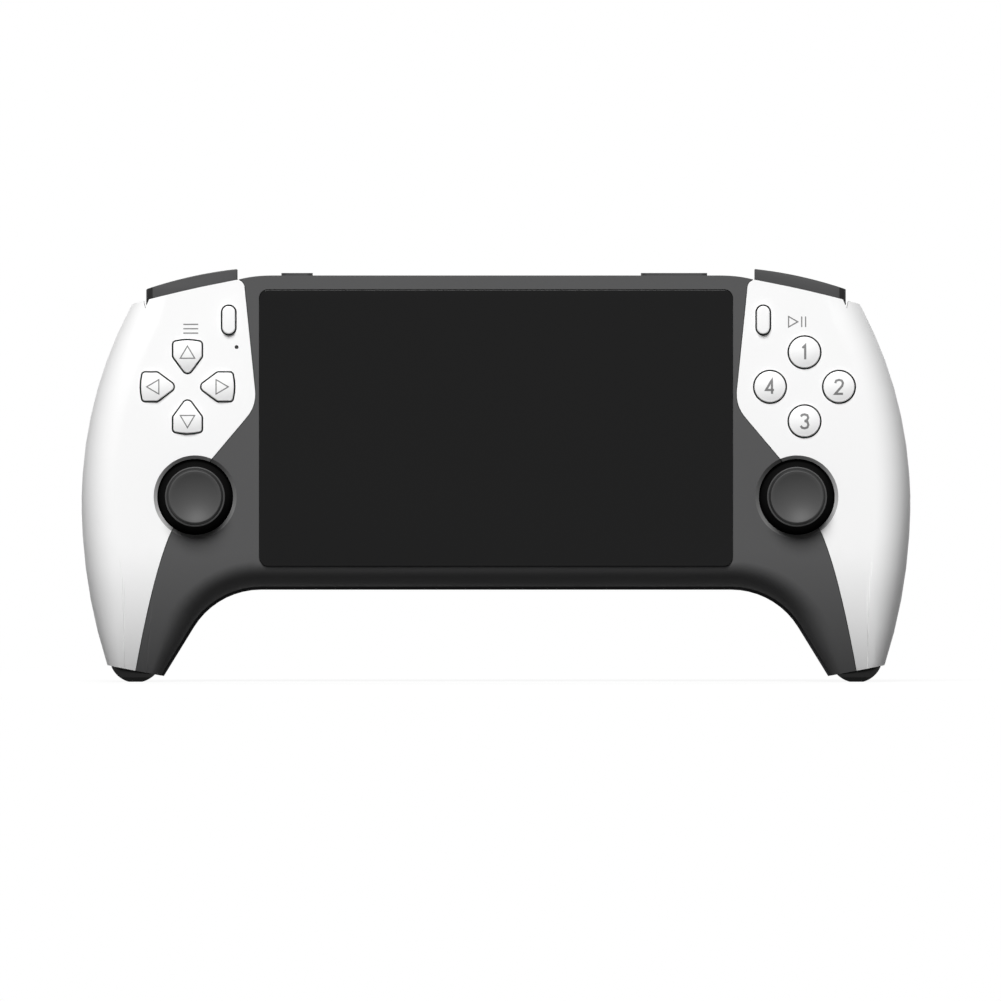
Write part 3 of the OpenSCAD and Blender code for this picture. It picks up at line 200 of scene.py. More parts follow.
FINISHES = {
    # Slots of the record
    "frame_plastic": dict(colour=(0.089, 0.089, 0.09), rough=0.6, grain=0.25, level=0.01),
    "plate_plastic": dict(colour=(0.86, 0.86, 0.86), rough=0.42, grain=0.06, spread=0.012, level=0.1),
    "rear_plastic": dict(colour=(0.03, 0.03, 0.032), rough=0.58, grain=0.35, level=0.08),
    "foot_rubber": dict(colour=(0.012, 0.012, 0.012), rough=0.7, grain=0.3, level=0.1),
    "screen_glass": dict(colour=(0.0035, 0.0035, 0.0036), rough=0.08, spread=0.03, level=0.15),
    "gasket_foam": dict(colour=(0.01, 0.01, 0.01), rough=0.9, grain=0.5),
    "panel_glass": dict(colour=(0.02, 0.02, 0.022), rough=0.2),
    "ribbon_film": dict(colour=(0.45, 0.2, 0.03), rough=0.35),
    "board_laminate": dict(colour=(0.01, 0.1, 0.04), rough=0.4, grain=0.2),
    "tin_plate": dict(colour=(0.6, 0.6, 0.6), rough=0.32, metallic=1.0, spread=0.06),
    "battery_wrap": dict(colour=(0.05, 0.05, 0.07), rough=0.45),
    "lead_plastic": dict(colour=(0.4, 0.03, 0.03), rough=0.5),
    "speaker_plastic": dict(colour=(0.02, 0.02, 0.02), rough=0.6),
    "key_plastic": dict(colour=(0.86, 0.86, 0.86), rough=0.32, grain=0.04, spread=0.012, level=0.1),
    "membrane_rubber": dict(colour=(0.2, 0.2, 0.21), rough=0.8),
    "stick_rubber": dict(colour=(0.055, 0.055, 0.055), rough=0.5, grain=0.3, level=0.2),
    "stick_plastic": dict(colour=(0.6, 0.6, 0.58), rough=0.5),
    "base_plastic": dict(colour=(0.04, 0.04, 0.042), rough=0.55, grain=0.2),
    "bumper_plastic": dict(colour=(0.054, 0.054, 0.055), rough=0.45, grain=0.12, level=0.15),
    "trigger_plastic": dict(colour=(0.035, 0.035, 0.036), rough=0.45, grain=0.15, level=0.25),
    "pin_steel": dict(colour=(0.6, 0.6, 0.6), rough=0.3, metallic=1.0),
    "switch_plastic": dict(colour=(0.03, 0.03, 0.03), rough=0.5),
    "edge_key_plastic": dict(colour=(0.03, 0.03, 0.031), rough=0.45, grain=0.12, level=0.2),
    "jack_plastic": dict(colour=(0.012, 0.012, 0.012), rough=0.45),
    "light_guide": dict(colour=(0.01, 0.01, 0.01), rough=0.25),
    "screw_steel": dict(colour=(0.09, 0.09, 0.09), rough=0.35, metallic=1.0, spread=0.08),
    # Finishes of single faces, which stand in for light and shade on them, and of the printed marks
    # lighter chamfer of the dark frame round a thumbstick: painted light
    "frame_lip_painted_light": dict(colour=(0.16, 0.16, 0.16), rough=0.5, level=0.1),
    # darker chamfer of the white plates round a thumbstick: painted shade
    "plate_lip_painted_shade": dict(colour=(0.42, 0.42, 0.42), rough=0.5, level=0.1),
    # darker outer end of a bumper, where it turns sideways: painted shade
    "bumper_end": dict(colour=(0.02, 0.02, 0.02), rough=0.5, grain=0.12, level=0.1),
    # darker steep ring of a thumb cap between its dish and its edge: painted shade
    "stick_ring_painted_shade": dict(colour=(0.018, 0.018, 0.018), rough=0.4, grain=0.2, level=0.25),
    "mark_ink": dict(colour=(0.2, 0.2, 0.2), rough=0.55, level=0.2),
    # skirt under a thumb cap: dark plastic, made near-black as painted shade inside the well
    "skirt_black_and_painted_shade": dict(colour=(0.002, 0.002, 0.002), rough=0.8, level=0.05),
}
finishes = {name: moulded(name, **look) for name, look in FINISHES.items()}
for name, node in nodes.items():
    node.data.materials.clear()
    node.data.materials.append(finishes[slot_of[name]])


# Making of pieces
def make(name, mesh, body, slot, replaced=(), coats=()):
    """Links a finished mesh as a piece of the object, with its slot's finish or the finishes given."""
    for coat in coats or [slot]:
        mesh.materials.append(finishes[coat])
    piece = link(name, mesh)
    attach(piece, body)
    if replaced:
        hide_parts(*replaced)
    return piece


def body_of(node):
    return next(body for body, members in bodies.items() if node in members)


NODE_MERGE = 1e-7  # in metres


def merged_copy(node):
    """A copy of a CAD node's mesh with its loose triangles joined."""
    mesh = nodes[node].data.copy()
    mesh.materials.clear()
    bm = bmesh.new()
    bm.from_mesh(mesh)
    bmesh.ops.remove_doubles(bm, verts=bm.verts, dist=NODE_MERGE)
    bm.to_mesh(mesh)
    bm.free()
    return mesh


def closed_mesh(name, bm, crisp=None):
    """The mesh of a closed shape: its faces point outwards, and edges that turn past crisp are sharp."""
    bmesh.ops.recalc_face_normals(bm, faces=bm.faces)
    if crisp:
        for edge in bm.edges:
            edge.smooth = edge.calc_face_angle(math.pi) < crisp
    mesh = bpy.data.meshes.new(name)
    bm.to_mesh(mesh)
    bm.free()
    return mesh


def round_edges(piece, width, segments=3, angle=30, harden=True):
    """Rounds the edges of a piece that turn more than the angle; the width is in millimetres."""
    bevel = piece.modifiers.new("rounding", "BEVEL")
    bevel.width = width * MM
    bevel.segments = segments
    bevel.limit_method = "ANGLE"
    bevel.angle_limit = math.radians(angle)
    bevel.harden_normals = harden


# The rounded form of the front half, as in the part's source, at a finer pitch
ROUND_FRONT = 6.0  # rounding of the front edges
ROUND_SIDE = 8.0  # rounding of the outer front edges
TIP_ROUND, TIP_GROWTH = 1.6, 0.28  # rounding at a grip's tip, and its growth with height
ARC_ROUND, ARC_GROWTH = 5.5, 0.08  # the same along the outer arcs
HALF_SHARE = 0.75  # most of a grip's half width that the rounding takes
LEAST_BEND = 0.5  # least rounding that is drawn
GRIP_SLANT = math.radians(58.4)  # inner edge of a grip, from level
GRIP_FILLET = 18.0  # radius where a grip meets the lower edge
DROOP_START = 9.0  # height above the lower edge where the face starts to curve back
DROOP_R = 62.0  # radius of that curve
TIP_RUN = 6.0  # how far the form runs past a grip's end
OVER_TOP = 10.0  # how far it runs past the top edge
SIDE_FLAT = 0.4  # half the upright run at the widest point
AT_WIDEST = 1e-6  # how close to that point counts as being there
FLAT_COLUMNS, FILLET_COLUMNS, SLANT_COLUMNS = 16, 24, 16
ARC_MARGIN = 1.6  # room between the last column of the arc and the tip, in degrees
FORM_RINGS = 20
FORM_ROWS = 48
FORM_MERGE = 2e-6  # in metres
Y_TIP = END_IN[1] - TIP_RUN
TIP_IN = END_IN[0] + TIP_RUN / math.tan(GRIP_SLANT)
SLANT_X = END_IN[0] - (Y_LOW - END_IN[1]) / math.tan(GRIP_SLANT)
FILLET_X = SLANT_X - GRIP_FILLET * math.tan(GRIP_SLANT / 2)
FILLET_END = FILLET_X + GRIP_FILLET * math.sin(GRIP_SLANT)


def arc_radius(tuck, rise):
    """Radius of an arc that stands upright at one end and is tucked in by so much at the other."""
    return (tuck * tuck + rise * rise) / (2 * tuck)


UPPER_R = arc_radius(X_WIDE - SHOULDER[0], SHOULDER[1] - WIDEST_H)
LOWER_R = arc_radius(X_WIDE - END_OUT[0], WIDEST_H - END_OUT[1])


def arc_height(x, r):
    """Height of an outer arc above or below the widest point."""
    middle = X_WIDE - r
    if r - abs(x - middle) < AT_WIDEST:
        return SIDE_FLAT
    return r if x < middle else math.sqrt(r * r - (x - middle) ** 2)


def lower_edge(x):
    if x <= FILLET_X:
        return Y_LOW
    if x <= FILLET_END:
        return Y_LOW - GRIP_FILLET + math.sqrt(GRIP_FILLET ** 2 - (x - FILLET_X) ** 2)
    if x <= TIP_IN:
        return END_IN[1] - (x - END_IN[0]) * math.tan(GRIP_SLANT)
    return max(Y_TIP, WIDEST_H - arc_height(x, LOWER_R))


def upper_edge(x):
    return min(Y_TOP + OVER_TOP, WIDEST_H + arc_height(x, UPPER_R))


def ease(t):
    u = min(1.0, max(0.0, t))
    return u * u * (3 - 2 * u)


def edge_round(x, y):
    """Rounding of the edge at a point of the rim: small at the grip tips, then growing."""
    h = max(0.0, y - Y_TIP)
    limits = [TIP_ROUND + TIP_GROWTH * h]
    if abs(x) > TIP_IN:
        limits += [ROUND_SIDE, ARC_ROUND + ARC_GROWTH * h]
    else:
        limits.append(ROUND_FRONT)
    if y < Y_LOW:
        outer = X_WIDE - LOWER_R + math.sqrt(LOWER_R ** 2 - (WIDEST_H - y) ** 2)
        inner = END_IN[0] - (y - END_IN[1]) / math.tan(GRIP_SLANT)
        limits.append(max(TIP_ROUND / 4, HALF_SHARE * (outer - inner) / 2))
    return min(limits)


def droop_way(y):
    """How far a point lies below the start of the curve towards the grips."""
    return max(0.0, Y_LOW + DROOP_START - y)


def face_z(y):
    """Height of the front face, which falls back towards the grips."""
    d = droop_way(y)
    return -(DROOP_R - math.sqrt(DROOP_R ** 2 - d * d))


def form_columns():
    """Places of the columns of the form, from its left side to its right."""
    steps = int(math.degrees(math.acos((TIP_IN - X_WIDE + UPPER_R) / UPPER_R)) - ARC_MARGIN)
    half = [FILLET_X * i / FLAT_COLUMNS for i in range(1, FLAT_COLUMNS + 1)]
    for i in range(1, FILLET_COLUMNS + 1):
        half.append(FILLET_X + GRIP_FILLET * math.sin(GRIP_SLANT * i / FILLET_COLUMNS))
    for i in range(1, SLANT_COLUMNS + 1):
        half.append(FILLET_END + (TIP_IN - FILLET_END) * i / SLANT_COLUMNS)
    for i in range(steps, -1, -1):
        half.append(X_WIDE - UPPER_R + UPPER_R * math.cos(math.radians(i)))
    return [-x for x in reversed(half)] + [0.0] + half


def body_form():
    """Points and quads of the uncut front half: rings up the rounded rim, then a grid over the face."""
    columns = form_columns()
    rim = [Vector((x, lower_edge(abs(x)))) for x in columns]
    rim += [Vector((x, upper_edge(abs(x)))) for x in reversed(columns)]
    count = len(rim)
    inward = []
    for i in range(count):
        t = rim[(i + 1) % count] - rim[i - 1]
        inward.append(Vector((-t.y, t.x)).normalized())
    step = [0.0] * count
    for i in range(len(columns)):
        if abs(rim[i].x) <= TIP_IN:
            step[i] = LEDGE * min(1.0, (rim[i].y - Y_TIP) / TIP_RUN)
    points = []
    for k in range(FORM_RINGS + 1):
        a = math.pi / 2 * k / FORM_RINGS
        for i in range(count):
            bend = max(LEAST_BEND, edge_round(rim[i].x, rim[i].y))
            p = rim[i] + inward[i] * (step[i] + bend * (1 - math.cos(a)))
            points.append((p.x, p.y, -SPLIT_D + (face_z(p.y) + SPLIT_D) * math.sin(a)))
    quads = []
    for k in range(FORM_RINGS):
        for i in range(count):
            n = (i + 1) % count
            quads.append((k * count + n, (k + 1) * count + n, (k + 1) * count + i, k * count + i))
    top = points[FORM_RINGS * count:]
    first = len(points)
    for a, b in zip(top[:count // 2], reversed(top)):
        for j in range(FORM_ROWS + 1):
            t = j / FORM_ROWS
            y = a[1] * (1 - t) + b[1] * t
            points.append((a[0] * (1 - t) + b[0] * t, y, face_z(y)))
    for i in range(count // 2 - 1):
        for j in range(FORM_ROWS):
            c = first + i * (FORM_ROWS + 1) + j
            quads.append((c + FORM_ROWS + 1, c + FORM_ROWS + 2, c + 1, c))
    return points, quads


def smooth_form():
    """A search tree over the front form, and the corners and smooth normals of its triangles."""
    points, quads = body_form()
    bm = bmesh.new()
    verts = [bm.verts.new(row(*p)) for p in points]
    for q in quads:
        bm.faces.new([verts[i] for i in q])
    bmesh.ops.remove_doubles(bm, verts=bm.verts, dist=FORM_MERGE)
    bmesh.ops.triangulate(bm, faces=bm.faces)
    bm.normal_update()
    bm.faces.ensure_lookup_table()
    corners = [[v.co.copy() for v in f.verts] for f in bm.faces]
    normals = [[v.normal.copy() for v in f.verts] for f in bm.faces]
    tree = BVHTree.FromBMesh(bm)
    bm.free()
    return tree, corners, normals


# Shells: the CAD pieces with smooth normals
SHELL_TURN = math.radians(32)  # faces that turn less are one smooth surface
FACE_FULL, FACE_NONE = 0.05, 0.35  # depths below the face between which its normal fades out
NEAR_CORNER, NEAR_MIDDLE = 0.5, 0.4  # how close to the form a face's corners and middle lie
SAME_WAY = 0.8  # least agreement of such a face with the form
LEAST_AGREE = 0.6  # least agreement of a corner's normal with its face
SLIVER_H = 0.03  # height below which a face's own normal says nothing
LIP_IN, LIP_OUT = WELL_R - 0.1, WELL_R + 1.0  # radii of the chamfer round a thumbstick
LIP_STEEP, LIP_FLAT = 0.4, 0.9  # least and most that its normal points to the front
NO_AREA = 1e-30


def fan_normals(mesh, turn):
    """Corner normals: the mean, by area, of the faces at a corner that turn less than the angle."""
    fans = [[] for _ in mesh.vertices]
    for polygon in mesh.polygons:
        for index in polygon.vertices:
            fans[index].append(polygon)
    limit = math.cos(turn)
    normals = []
    for polygon in mesh.polygons:
        for index in polygon.vertices:
            total = Vector()
            for other in fans[index]:
                if other.normal.dot(polygon.normal) > limit:
                    total += other.normal * other.area
            normals.append(total.normalized() if total.length > 0 else polygon.normal.copy())
    return normals


def barycentric(p, a, b, c):
    """Weights of a triangle's corners at a point in it."""
    ab, ac, ap = b - a, c - a, p - a
    d00, d01, d11 = ab.dot(ab), ab.dot(ac), ac.dot(ac)
    d20, d21 = ap.dot(ab), ap.dot(ac)
    area = d00 * d11 - d01 * d01
    if abs(area) < NO_AREA:
        return 1.0, 0.0, 0.0
    v = (d11 * d20 - d01 * d21) / area
    w = (d00 * d21 - d01 * d20) / area
    return 1 - v - w, v, w


def face_normal(place):
    """Normal of the front face at a point of the row frame, and how far the point lies in that face."""
    y, z = place.z / MM, Y_SHIFT - place.y / MM
    d = droop_way(y)
    normal = Vector((0, -math.sqrt(DROOP_R ** 2 - d * d), -d)).normalized()
    fall = abs(z - face_z(y))
    return normal, 1 - ease((fall - FACE_FULL) / (FACE_NONE - FACE_FULL))


def form_normals(mesh, form):
    """The form's normal at each point of a mesh, and how far off the form the point lies."""
    tree, corners, normals = form
    found, gaps = [], []
    for vertex in mesh.vertices:
        place, _, triangle, gap = tree.find_nearest(vertex.co)
        total = Vector()
        for weight, normal in zip(barycentric(place, *corners[triangle]), normals[triangle]):
            total += normal * weight
        normal, share = face_normal(vertex.co)
        found.append(total.normalized().lerp(normal, share).normalized())
        gaps.append(gap)
    return found, gaps


def follow_form(mesh, normals, form):
    """Replaces the corner normals of the faces that lie on the front form by the form's own."""
    tree = form[0]
    found, gaps = form_normals(mesh, form)
    for polygon in mesh.polygons:
        spots = [mesh.vertices[i].co for i in polygon.vertices]
        longest = max((spots[i] - spots[i - 1]).length for i in range(len(spots)))
        sliver = 2 * polygon.area < longest * SLIVER_H * MM
        outside = all(gaps[i] < NEAR_CORNER * MM for i in polygon.vertices)
        if not sliver:
            _, flat, _, gap = tree.find_nearest(polygon.center)
            outside = outside and gap < NEAR_MIDDLE * MM and flat.dot(polygon.normal) > SAME_WAY
        for loop in polygon.loop_indices:
            if outside:
                normals[loop] = found[mesh.loops[loop].vertex_index]
            if not sliver and normals[loop].dot(polygon.normal) < LEAST_AGREE:
                normals[loop] = polygon.normal.copy()


def paint_lip_shading(mesh):
    """Gives the chamfer round a thumbstick's opening the second finish: painted light on the dark frame,
    painted shade on the white plates.
    """
    for polygon in mesh.polygons:
        across = abs(polygon.center.x) / MM - STICK[0]
        reach = math.hypot(across, polygon.center.z / MM - STICK[1])
        if LIP_IN < reach < LIP_OUT and LIP_STEEP < -polygon.normal.y < LIP_FLAT:
            polygon.material_index = 1


def shell_piece(name, node, form=None, lip=None):
    """A shell with crisp edges and smooth normals, which are the form's own where the shell follows it; the
    lip finish, if given, is the painted light or painted shade of the chamfer round each thumbstick's
    opening.
    """
    mesh = merged_copy(node)
    for polygon in mesh.polygons:
        polygon.use_smooth = True
    normals = fan_normals(mesh, SHELL_TURN)
    if form:
        follow_form(mesh, normals, form)
    mesh.normals_split_custom_set(normals)
    if lip:
        paint_lip_shading(mesh)
    slot = slot_of[node]
    make(name, mesh, "console", slot, [node], [slot, lip] if lip else [slot])


front_form = smooth_form()
# The lip finishes are painted light on the frame's chamfer and painted shade on the plates' chamfer round
# each thumbstick opening
shell_piece("frame_moulding", "front_shell", front_form, "frame_lip_painted_light")
shell_piece("left_plate_moulding", "left_plate", front_form, "plate_lip_painted_shade")
shell_piece("right_plate_moulding", "right_plate", front_form, "plate_lip_painted_shade")
shell_piece("rear_moulding", "rear_shell")

# CAD pieces with rounded edges
FLAT_TURN = math.radians(1)  # faces that turn less are joined
BUMPER_NOSE_X = 77.5  # where the outer end of a bumper starts, which carries painted shade
BUMPER_END_TURN = 0.2  # how far the faces of that end look sideways


def rounded_copy(name, node, width):
    """A CAD piece with rounded edges and smooth faces."""
    mesh = merged_copy(node)
    bm = bmesh.new()
    bm.from_mesh(mesh)
    bmesh.ops.dissolve_limit(bm, angle_limit=FLAT_TURN, verts=bm.verts, edges=bm.edges)
    for face in bm.faces:
        face.smooth = True
    bm.to_mesh(mesh)
    bm.free()
    piece = make(name, mesh, body_of(node), slot_of[node], [node])
    round_edges(piece, width)
    return piece


rounded_copy("cover_glass", "screen_glass", width=0.12)
for side in ("left", "right"):
    bumper = rounded_copy(f"{side}_bumper_bar", f"{side}_bumper", width=0.35)
    # The outer end of each bumper, where its faces turn sideways, gets a darker finish as painted shade
    bumper.data.materials.append(finishes["bumper_end"])
    for polygon in bumper.data.polygons:
        outer = abs(polygon.center.x) > BUMPER_NOSE_X * MM
        polygon.material_index = int(outer and abs(polygon.normal.x) > BUMPER_END_TURN)
    rounded_copy(f"{side}_trigger_lever", f"{side}_trigger", width=0.6)
    rounded_copy(f"{side}_grip_foot", f"{side}_foot", width=0.3)
rounded_copy("power_key", "power_button", width=0.25)
rounded_copy("volume_key", "volume_rocker", width=0.25)

# Keys: domed caps over rounded outlines, with marks that follow the dome
KEY_TOP = 1.1
KEY_BOTTOM = -3.0
KEY_SHRINK = 0.06  # how far a cap's side lies inside that of its solid
KEY_FILLET = 0.32  # rounding of its rim
FILLET_STEPS = 6
DOME_RINGS = 10
OUTLINE_POINTS = 112
SAME_DIGITS = 6  # digits to which two points of an outline are the same
STRAIGHT = 1e-9  # turn below which an outline runs straight on
STROKE_STEP = 0.35  # about the length of the straight bits of a mark
STROKE_LIFT, STROKE_SINK = 0.025, 0.05  # how far a mark stands out, and reaches in
MITRE_LIMIT = 0.4  # keeps the corners of a mark from growing long points


def cross(a, b, c):
    """Turn to the left at b on the way from a to c: twice the area between them."""
    return (b[0] - a[0]) * (c[1] - a[1]) - (b[1] - a[1]) * (c[0] - a[0])


def convex(points):
    """The convex outline of a set of points, anticlockwise."""
    points = sorted(set((round(x, SAME_DIGITS), round(y, SAME_DIGITS)) for x, y in points))
    outline = []
    for run in (points, points[::-1]):
        chain = []
        for p in run:
            while len(chain) > 1 and cross(chain[-2], chain[-1], p) <= STRAIGHT:
                chain.pop()
            chain.append(p)
        outline += chain[:-1]
    return outline


def circle_points(x, y, r, count=64):
    turn = 2 * math.pi / count
    return [(x + r * math.cos(i * turn), y + r * math.sin(i * turn)) for i in range(count)]


def even_outline(points, count):
    """The same closed outline with evenly spaced points."""
    lengths = [math.dist(points[i], points[(i + 1) % len(points)]) for i in range(len(points))]
    step = sum(lengths) / count
    made, i, walked = [], 0, 0.0
    for k in range(count):
        while walked + lengths[i] < k * step:
            walked += lengths[i]
            i += 1
        a, b = points[i], points[(i + 1) % len(points)]
        t = (k * step - walked) / lengths[i]
        made.append((a[0] + (b[0] - a[0]) * t, a[1] + (b[1] - a[1]) * t))
    return made


class KeyCap:
    """A key seen from the front: its outline about its own centre, its place and the fall of its dome."""

    def __init__(self, outline, place, fall, turn=0.0):
        self.outline = even_outline(outline, OUTLINE_POINTS)
        self.place = place
        self.fall = fall
        self.turn = turn
        self.reach = max(math.hypot(x, y) for x, y in outline)

    def inset(self, amount):
        """The outline drawn in by an amount."""
        made = []
        count = len(self.outline)
        for i in range(count):
            a, b, c = self.outline[i - 1], self.outline[i], self.outline[(i + 1) % count]
            t = Vector((c[0] - a[0], c[1] - a[1])).normalized()
            made.append((b[0] - t.y * amount, b[1] + t.x * amount))
        return made

    def point(self, x, y, z):
        """A point of the key in the row frame."""
        c, s = math.cos(self.turn), math.sin(self.turn)
        return row(self.place[0] + c * x - s * y, self.place[1] + s * x + c * y, z)

    def height(self, x, y):
        """Height of the domed top at a point."""
        return KEY_TOP - self.fall * (x * x + y * y) / self.reach ** 2

    def on_top(self, x, y, h):
        """A point so far above the domed top, in the row frame."""
        return self.point(x, y, self.height(x, y) + h)

    def mesh(self, name):
        rings = [[(x, y, KEY_BOTTOM) for x, y in self.inset(KEY_SHRINK)]]
        rim = self.inset(KEY_SHRINK + KEY_FILLET)
        for i in range(FILLET_STEPS + 1):
            a = math.pi / 2 * i / FILLET_STEPS
            side = self.inset(KEY_SHRINK + KEY_FILLET * (1 - math.cos(a)))
            rings.append([(x, y, self.height(*top) - KEY_FILLET * (1 - math.sin(a)))
                          for (x, y), top in zip(side, rim)])
        for i in range(1, DOME_RINGS):
            s = 1 - i / DOME_RINGS
            rings.append([(x * s, y * s, self.height(x * s, y * s)) for x, y in rim])
        bm = bmesh.new()
        loops = [[bm.verts.new(self.point(*p)) for p in ring] for ring in rings]
        centre = bm.verts.new(self.point(0, 0, KEY_TOP))
        count = len(self.outline)
        bm.faces.new(loops[0][::-1]).smooth = False
        for low, high in zip(loops, loops[1:]):
            for i in range(count):
                n = (i + 1) % count
                bm.faces.new((low[i], low[n], high[n], high[i])).smooth = True
        for i in range(count):
            bm.faces.new((loops[-1][i], loops[-1][(i + 1) % count], centre)).smooth = True
        return closed_mesh(name, bm)


def fine_stroke(points, closed):
    """The points of a stroke, with more between them so that it can follow a dome."""
    count = len(points)
    fine = []
    for i in range(count if closed else count - 1):
        a, b = Vector(points[i]), Vector(points[(i + 1) % count])
        parts = max(1, int((b - a).length / STROKE_STEP))
        fine += [a.lerp(b, k / parts) for k in range(parts)]
    if not closed:
        fine.append(Vector(points[-1]))
    return fine


def stroke_mesh(name, strokes, width, lay, lift=STROKE_LIFT):
    """Thin raised lines: each stroke is a list of points and whether it closes; lay places a point."""
    bm = bmesh.new()
    for points, closed in strokes:
        fine = fine_stroke(points, closed)
        count = len(fine)
        sections = []
        for i, here in enumerate(fine):
            ways = []
            if closed or i > 0:
                ways.append((here - fine[i - 1]).normalized())
            if closed or i < count - 1:
                ways.append((fine[(i + 1) % count] - here).normalized())
            way = sum(ways, Vector((0, 0))).normalized()
            side = Vector((-way.y, way.x)) * (width / 2 / max(MITRE_LIMIT, way.dot(ways[-1])))
            left, right = here + side, here - side
            sections.append([bm.verts.new(lay(p.x, p.y, h)) for p, h in (
                (left, lift), (right, lift), (right, -STROKE_SINK), (left, -STROKE_SINK))])
        pairs = list(zip(sections, sections[1:]))
        if closed:
            pairs.append((sections[-1], sections[0]))
        for a, b in pairs:
            for k in range(4):
                n = (k + 1) % 4
                bm.faces.new((a[k], a[n], b[n], b[k]))
        if not closed:
            bm.faces.new(sections[0])
            bm.faces.new(sections[-1][::-1])
    return closed_mesh(name, bm)


def key_piece(node, key, strokes=(), width=0.0):
    """A key's cap, which stands for its CAD node, and the mark on it."""
    make(f"{node}_cap", key.mesh(node), node, "key_plastic", [node])
    if strokes:
        mark = stroke_mesh(f"{node}_mark", strokes, width, key.on_top)
        make(f"{node}_mark", mark, node, "key_plastic", coats=["mark_ink"])


# Arrow keys, round a centre on the left: each narrows inwards and carries a triangle
ARROW_IN, ARROW_L, ARROW_W = 3.15, 7.55, 6.6  # distance from that centre, length and width
ARROW_CORNER, ARROW_TAPER, ARROW_BULGE = 0.7, 3.25, 0.3
ARROW_POINT_R = ARROW_CORNER * 1.6  # rounding of the inner point
ARROW_SHIFT = 0.6  # how far the highest place lies outside the middle of the length
ARROW_MID = ARROW_IN + ARROW_L / 2 + ARROW_SHIFT
ARROW_FALL = 0.85  # fall of the dome to its furthest corner
TRIANGLE_HALF, TRIANGLE_BASE, TRIANGLE_TIP = 1.65, 6.55, 9.35
TRIANGLE_LINE = 0.26
arrow_points = circle_points(0, ARROW_IN + ARROW_POINT_R, ARROW_POINT_R)
arrow_side = ARROW_W / 2 - ARROW_CORNER
for t in (-1, -0.5, 0, 0.5, 1):
    end_y = ARROW_IN + ARROW_L - ARROW_CORNER - ARROW_BULGE * t * t
    arrow_points += circle_points(t * arrow_side, end_y, ARROW_CORNER)
for s in (-1, 1):
    arrow_points += circle_points(s * arrow_side, ARROW_IN + ARROW_TAPER + ARROW_CORNER, ARROW_CORNER)
arrow_outline = convex([(x, y - ARROW_MID) for x, y in arrow_points])
triangle = [(-TRIANGLE_HALF, TRIANGLE_BASE - ARROW_MID), (TRIANGLE_HALF, TRIANGLE_BASE - ARROW_MID),
            (0, TRIANGLE_TIP - ARROW_MID)]
for quarter, way in enumerate(("up", "left", "down", "right")):
    turn = quarter * math.pi / 2
    place = (-GROUP[0] - math.sin(turn) * ARROW_MID, GROUP[1] + math.cos(turn) * ARROW_MID)
    arrow = KeyCap(arrow_outline, place, ARROW_FALL, turn)
    key_piece(f"arrow_{way}", arrow, [(triangle, True)], TRIANGLE_LINE)

# Round keys, round a centre on the right, with the numbers 1 to 4
ROUND_D, ROUND_OUT = 7.25, 7.9
ROUND_FALL = 0.62
DIGIT_W, DIGIT_H = 1.75, 2.0
DIGIT_LINE = 0.5
DIGITS = {
    1: [[(-0.28, 0.5), (0.08, 0.8), (0.08, -0.8)]],
    2: [[(-0.5, 0.42), (-0.38, 0.7), (0, 0.8), (0.38, 0.7), (0.5, 0.42), (0.4, 0.1), (-0.5, -0.8),
         (0.52, -0.8)]],
    3: [[(-0.48, 0.55), (-0.3, 0.75), (0, 0.8), (0.36, 0.7), (0.47, 0.43), (0.34, 0.14), (0, 0.04)],
        [(0, 0.04), (0.38, -0.08), (0.5, -0.4), (0.36, -0.7), (0, -0.8), (-0.32, -0.74), (-0.5, -0.52)]],
    4: [[(0.25, -0.8), (0.25, 0.8), (-0.52, -0.36), (0.52, -0.36)]],
}
round_outline = circle_points(0, 0, ROUND_D / 2, OUTLINE_POINTS)
for way, digit, dx, dy in (("top", 1, 0, 1), ("right", 2, 1, 0), ("bottom", 3, 0, -1), ("left", 4, -1, 0)):
    place = (GROUP[0] + dx * ROUND_OUT, GROUP[1] + dy * ROUND_OUT)
    strokes = [([(x * DIGIT_W, y * DIGIT_H) for x, y in points], False) for points in DIGITS[digit]]
    key_piece(f"button_{way}", KeyCap(round_outline, place, ROUND_FALL), strokes, DIGIT_LINE)

# Select and start keys
PILL_W, PILL_H = 3.05, 6.55
PILL_FALL = 0.08
pill_points = []
for s in (1, -1):
    pill_points += circle_points(0, s * (PILL_H - PILL_W) / 2, PILL_W / 2)
for node, s in (("select_button", -1), ("start_button", 1)):
    key_piece(node, KeyCap(convex(pill_points), (s * PILL[0], PILL[1]), PILL_FALL))

# Printed signs beside those two keys: stacked bars, and a triangle with two bars
SELECT_SIGN = (-69.9, 80.9)
START_SIGN = (69.2, 82.5)
SIGN_LINE, SIGN_LIFT = 0.28, 0.02
BAR_HALF, BAR_STEP = 1.7, 1.0
PLAY_LEFT, PLAY_RIGHT, PLAY_HALF = -2.2, -0.1, 1.2
PAUSE_X = (0.8, 1.7)


def sign_piece(name, centre, strokes):
    """A sign printed flat on a side plate; its strokes are drawn about its centre."""
    placed = []
    for points, closed in strokes:
        placed.append(([(centre[0] + x, centre[1] + y) for x, y in points], closed))
    mesh = stroke_mesh(name, placed, SIGN_LINE, row, SIGN_LIFT)
    make(name, mesh, "console", "plate_plastic", coats=["mark_ink"])


bars = [([(-BAR_HALF, i * BAR_STEP), (BAR_HALF, i * BAR_STEP)], False) for i in (-1, 0, 1)]
play = [([(PLAY_LEFT, -PLAY_HALF), (PLAY_RIGHT, 0), (PLAY_LEFT, PLAY_HALF)], True)]
play += [([(x, -PLAY_HALF), (x, PLAY_HALF)], False) for x in PAUSE_X]
sign_piece("select_sign", SELECT_SIGN, bars)
sign_piece("start_sign", START_SIGN, play)

